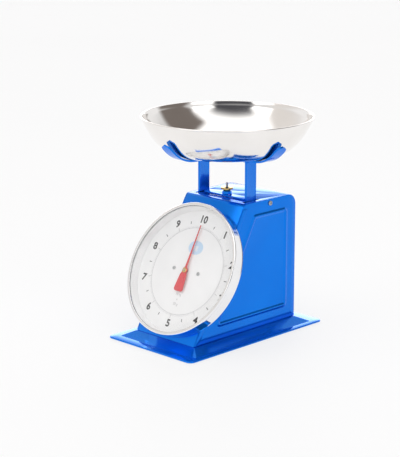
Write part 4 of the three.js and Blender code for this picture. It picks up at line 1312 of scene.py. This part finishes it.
def add_pointer():
    half = [
        (0.8, NEEDLE_LENGTH), (1.3, 40.0), (2.1, 6.0), (4.6, 3.4), (5.4, 0.0), (5.2, -3.5),
        (7.2, -7.5), (9.6, 5 - TAIL_LENGTH), (9.2, 2.2 - TAIL_LENGTH), (7.6, 0.5 - TAIL_LENGTH),
        (5.5, -TAIL_LENGTH),
    ]
    outline = [*half, *[(-x, y) for x, y in reversed(half)]]
    loops = [
        [(x, y, z) for x, y in outline] for z in (BLADE_LEVEL, BLADE_LEVEL + BLADE_THICKNESS)
    ]
    blade = lofted("needle_blade", loops, needle_red, dial_place)
    face_out(blade)
    soften(blade, 0.22, 2)
    carry(blade, "pointer_spindle", "pointer_red", "pointer")
    top = BLADE_LEVEL + BLADE_THICKNESS
    profile = ring_profile([
        (HUB_BORE, HUB_FOOT, 0), (HUB_SLEEVE, HUB_FOOT, 0), (HUB_SLEEVE, top + 0.3, 0),
        (HUB_FLANGE, top + 0.3, 0.15), (HUB_FLANGE, top + 1.1, 0.3), (3.2, top + 2.0, 0.5),
        (HUB_BORE, top + 2.0, 0.2),
    ], 5)
    hub = turned("needle_hub", profile, dial_brass, dial_place, 64)
    carry(hub, "pointer_spindle", "brass", "pointer_hub")


# ---------- zero adjustment on the top ----------
BORE = 2.7
NUT_FLANGE = 2.7  # height of the nut's rim above its seat
THREAD_PITCH = 0.8
THREAD_CORE = 2.05
THREAD_CREST = 2.4


def add_top_fittings():
    strap_low, strap_high = corners("bridge_strap")
    size = strap_high - strap_low
    strap = block("bridge_strap_bar", size, (strap_low + strap_high) / 2, blue_enamel)
    face_out(strap)
    combine(strap, "DIFFERENCE", drill(BORE, strap_high.z))
    soften(strap, 0.6, 3, 50)
    carry(strap, "root", "blue_paint", "bridge_strap")

    boss_low, boss_high = corners("adjuster_boss")
    radius = (boss_high.x - boss_low.x) / 2
    height = boss_high.z - boss_low.z
    profile = ring_profile([
        (BORE, 0, 0), (radius, 0, 0.3), (radius, 1.2, 0.3), (radius - 0.6, height, 0.8),
        (BORE, height, 0.2),
    ], 5)
    boss = turned("boss_collar", profile, blue_enamel, on_column(boss_low.z), 64)
    carry(boss, "root", "blue_paint", "adjuster_boss")

    nut_low, nut_high = corners("zero_nut")
    radius = (nut_high.x - nut_low.x) / 2
    height = nut_high.z - nut_low.z
    rim = radius - 0.45
    profile = ring_profile([
        (BORE, 0, 0), (radius * 0.6, 0, 0.3), (radius * 0.66, 2.4, 0.8), (rim, NUT_FLANGE, 0.3),
        (rim, height - 1.0, 0.3), (rim - 1.0, height - 0.5, 0.6), (5.2, height - 0.5, 0.3),
        (4.6, height, 0.3), (BORE, height, 0.2),
    ], 4)
    disc = turned("thumb_nut", profile, turned_brass, on_column(nut_low.z), 72)
    face_out(disc)
    ridges = grow(
        "nut_ridges", mark_ring, turned_brass, on_column(nut_low.z + (NUT_FLANGE + height - 1.0) / 2),
        Count=60, Radius=rim - 0.05, Bar_Size=(0.9, 0.5, height - 4.3), Bare_Every=1000, Start_Angle=0.0,
    )
    face_out(ridges)
    carry(join_objects("thumb_nut_brass", [disc, ridges]), "zero_nut_body", "brass", "zero_nut")

    rod_low, rod_high = corners("zero_rod")
    core = THREAD_CORE
    head_radius, head_height = 4.2, 3.6
    bottom, top = rod_low.z, rod_high.z
    profile = rounded([
        (0, bottom, 0), (head_radius, bottom, 0.4), (head_radius, bottom + head_height, 0.3),
        (core, bottom + head_height, 0.1), (core, top - 0.6, 0.1), (core - 0.7, top, 0.2), (0, top, 0),
    ], 4)
    rod = turned("rod_core", profile, plated_steel, on_column(0), 40)
    face_out(rod)
    length = top - bottom - head_height - 1.6
    thread = grow(
        "rod_thread", helix, plated_steel, on_column(bottom + head_height + 0.7), Turns=length / THREAD_PITCH,
        Radius=(THREAD_CORE + THREAD_CREST) / 2 - 0.05, Height=length, Wire=0.24, Steps=20, Sides=4,
    )
    face_out(thread)
    carry(join_objects("zero_rod_threaded", [rod, thread]), "spring_hanger", "steel", "zero_rod")


# ---------- hidden works keep the frame's shapes ----------
def paint_frame_nodes():
    """Each frame node that still shows gets the worked material for its slot."""
    looks = {
        "steel": plated_steel, "brass": dial_brass, "blue_paint": blue_enamel, "chrome": bezel_chrome,
        "stainless": bowl_steel, "dial_print": dial_enamel, "pointer_red": needle_red,
        "glass": window_glass, "foot_rubber": foot_rubber,
    }
    slots = {item["node"]: item["material_slot"] for item in frame["record"]["subparts"]}
    for name, node in frame["nodes"].items():
        look = looks[slots[name]]
        if not node.data.materials:
            node.data.materials.append(look)
        for material_slot in node.material_slots:
            material_slot.material = look


# ---------- stage, light and camera ----------
FLOOR_HALF = 40000
FLOOR_GLOW = 0.965
FLOOR_GLOW_SHARE = 0.78


def add_floor():
    size = FLOOR_HALF
    loops = [(-size, -size, 0), (size, -size, 0), (size, size, 0), (-size, size, 0)]
    material, tree, shader = finish_of("pale_floor")
    cloud = shade(tree, (0.86, 0.86, 0.865), (0.84, 0.84, 0.845), (0.8, 0.8, 0.8), 1.5, 0.0)
    tree.feed(shader.inputs["Base Color"], cloud)
    set_values(shader, Roughness=0.6)
    glow = tree.add("ShaderNodeEmission", {"Color": (1, 1, 1, 1), "Strength": FLOOR_GLOW})
    path = tree.add("ShaderNodeLightPath").outputs
    seen = tree.math("MAXIMUM", path["Is Camera Ray"], path["Is Glossy Ray"])
    seen = tree.math("MAXIMUM", seen, path["Is Transmission Ray"])
    share = tree.math("MULTIPLY", seen, FLOOR_GLOW_SHARE)
    both = tree.out("ShaderNodeMixShader", {0: share, 1: shader.outputs[0], 2: glow.outputs[0]})
    tree.feed(material.node_tree.nodes["Material Output"].inputs["Surface"], both)
    floor = mesh_object("studio_floor", loops, [(0, 1, 2, 3)], material)


PANELS = (  # azimuth, elevation, half width, half height, softness, light
    (-65, 42, 38, 24, 0.20, (0.80, 0.77, 0.74)),
    (38, 76, 46, 26, 0.22, (1.4, 1.4, 1.4)),
    (131, 38, 24, 25, 0.12, (0.19, 0.165, 0.15)),
    (34, 37, 26, 13, 0.13, (0.08, 0.08, 0.09)),
    (82, 34, 14, 7, 0.06, (1.9, 1.9, 1.9)),
    (-12, 34, 14, 7, 0.06, (1.9, 1.9, 1.9)),
    (225, 13, 30, 11, 0.10, (3.0, 2.9, 2.9)),
)


def add_world():
    """A pale studio by direction: white walls, a grey band, and bright and dark panels over them."""
    world = bpy.data.worlds.new("studio")
    scene.world = world
    world.use_nodes = True
    tree = Tree(world.node_tree)
    direction = tree.add("ShaderNodeTexCoord").outputs["Generated"]
    height = tree.add("ShaderNodeSeparateXYZ", {"Vector": direction}).outputs["Z"]
    ramp = tree.add("ShaderNodeValToRGB", {"Fac": height})
    stops = ((0.0, 0.92), (0.22, 0.92), (0.42, 0.72), (0.66, 0.68), (0.75, 0.8), (1.0, 0.85))
    elements = ramp.color_ramp.elements
    for position, level in stops[1:-1]:
        elements.new(position)
    for element, (position, level) in zip(elements, stops):
        element.position = position
        element.color = (level, level, level * 1.005, 1)

    def dot(vector):
        node = tree.add("ShaderNodeVectorMath", {0: direction, 1: tuple(vector)}, operation="DOT_PRODUCT")
        return node.outputs["Value"]

    def inside(offset, half, soft):
        """1 within the half size, falling softly to 0 outside it."""
        size = tree.math("ABSOLUTE", offset)
        return tree.remap(size, half + soft, half - soft, interpolation_type="SMOOTHSTEP")

    def panel(colour, azimuth, elevation, half_width, half_height, soft, light):
        """Lays a soft-edged panel over the studio, azimuth from -Y towards +X, sizes in degrees."""
        turn, tilt = math.radians(azimuth), math.radians(elevation)
        ahead = Vector((math.sin(turn) * math.cos(tilt), -math.cos(turn) * math.cos(tilt), math.sin(tilt)))
        side = Vector((math.cos(turn), math.sin(turn), 0))
        depth = tree.math("MAXIMUM", dot(ahead), 0.001)
        across = inside(tree.math("DIVIDE", dot(side), depth), math.tan(math.radians(half_width)), soft)
        upwards = inside(
            tree.math("DIVIDE", dot(side.cross(ahead)), depth), math.tan(math.radians(half_height)), soft,
        )
        return tree.mix(tree.math("MULTIPLY", across, upwards), colour, (*light, 1))

    colour = ramp.outputs[0]
    for row in PANELS:
        colour = panel(colour, *row)
    background = world.node_tree.nodes["Background"]
    tree.feed(background.inputs["Color"], colour)


LAMP_TARGET = (0, 0, 0.18)


def add_softbox(name, place, target, size, power):
    lamp = bpy.data.lights.new(name, "AREA")
    lamp.shape = "RECTANGLE"
    lamp.size, lamp.size_y = size
    lamp.energy = power
    obj = new_object(name, lamp)
    obj.location = place
    aim = Vector(target) - Vector(place)
    obj.rotation_euler = aim.to_track_quat("-Z", "Y").to_euler()
    obj.visible_glossy = False


def add_lights():
    add_softbox("key_softbox", (1.7, -1.9, 1.9), LAMP_TARGET, (1.2, 1.0), 12.5)
    add_softbox("top_softbox", (0.3, 0.2, 2.4), LAMP_TARGET, (1.4, 1.4), 10)


VIEW_AZIMUTH = math.radians(44.672)
VIEW_ELEVATION = math.radians(14.203)
VIEW_DISTANCE = 2.5858
VIEW_TARGET = Vector((-0.03053, -0.01170, 0.16792))
VIEW_LENS = 124.8


def add_camera():
    camera = bpy.data.cameras.new("view_camera")
    camera.sensor_width = 36
    camera.sensor_fit = "AUTO"
    camera.lens = VIEW_LENS
    camera.clip_start, camera.clip_end = 0.05, 150
    obj = new_object("view_camera", camera)
    back = Vector((
        math.sin(VIEW_AZIMUTH) * math.cos(VIEW_ELEVATION),
        -math.cos(VIEW_AZIMUTH) * math.cos(VIEW_ELEVATION),
        math.sin(VIEW_ELEVATION),
    ))
    obj.location = VIEW_TARGET + back * VIEW_DISTANCE
    obj.rotation_mode = "QUATERNION"
    obj.rotation_quaternion = (-back).to_track_quat("-Z", "Y")
    scene.camera = obj


# ---------- build ----------
scene.view_settings.view_transform = "Standard"
add_camera()
add_world()
add_lights()
add_floor()
paint_frame_nodes()
add_base()
add_feet()
add_shell()
add_rear_cover()
side_panel("left", -1)
side_panel("right", 1)
add_front_hems()
add_screws()
add_bezel()
add_inner_ring()
add_window()
add_card()
add_printing()
add_pointer()
add_top_fittings()
add_posts()
add_seat()
add_rivets()
add_bowl()
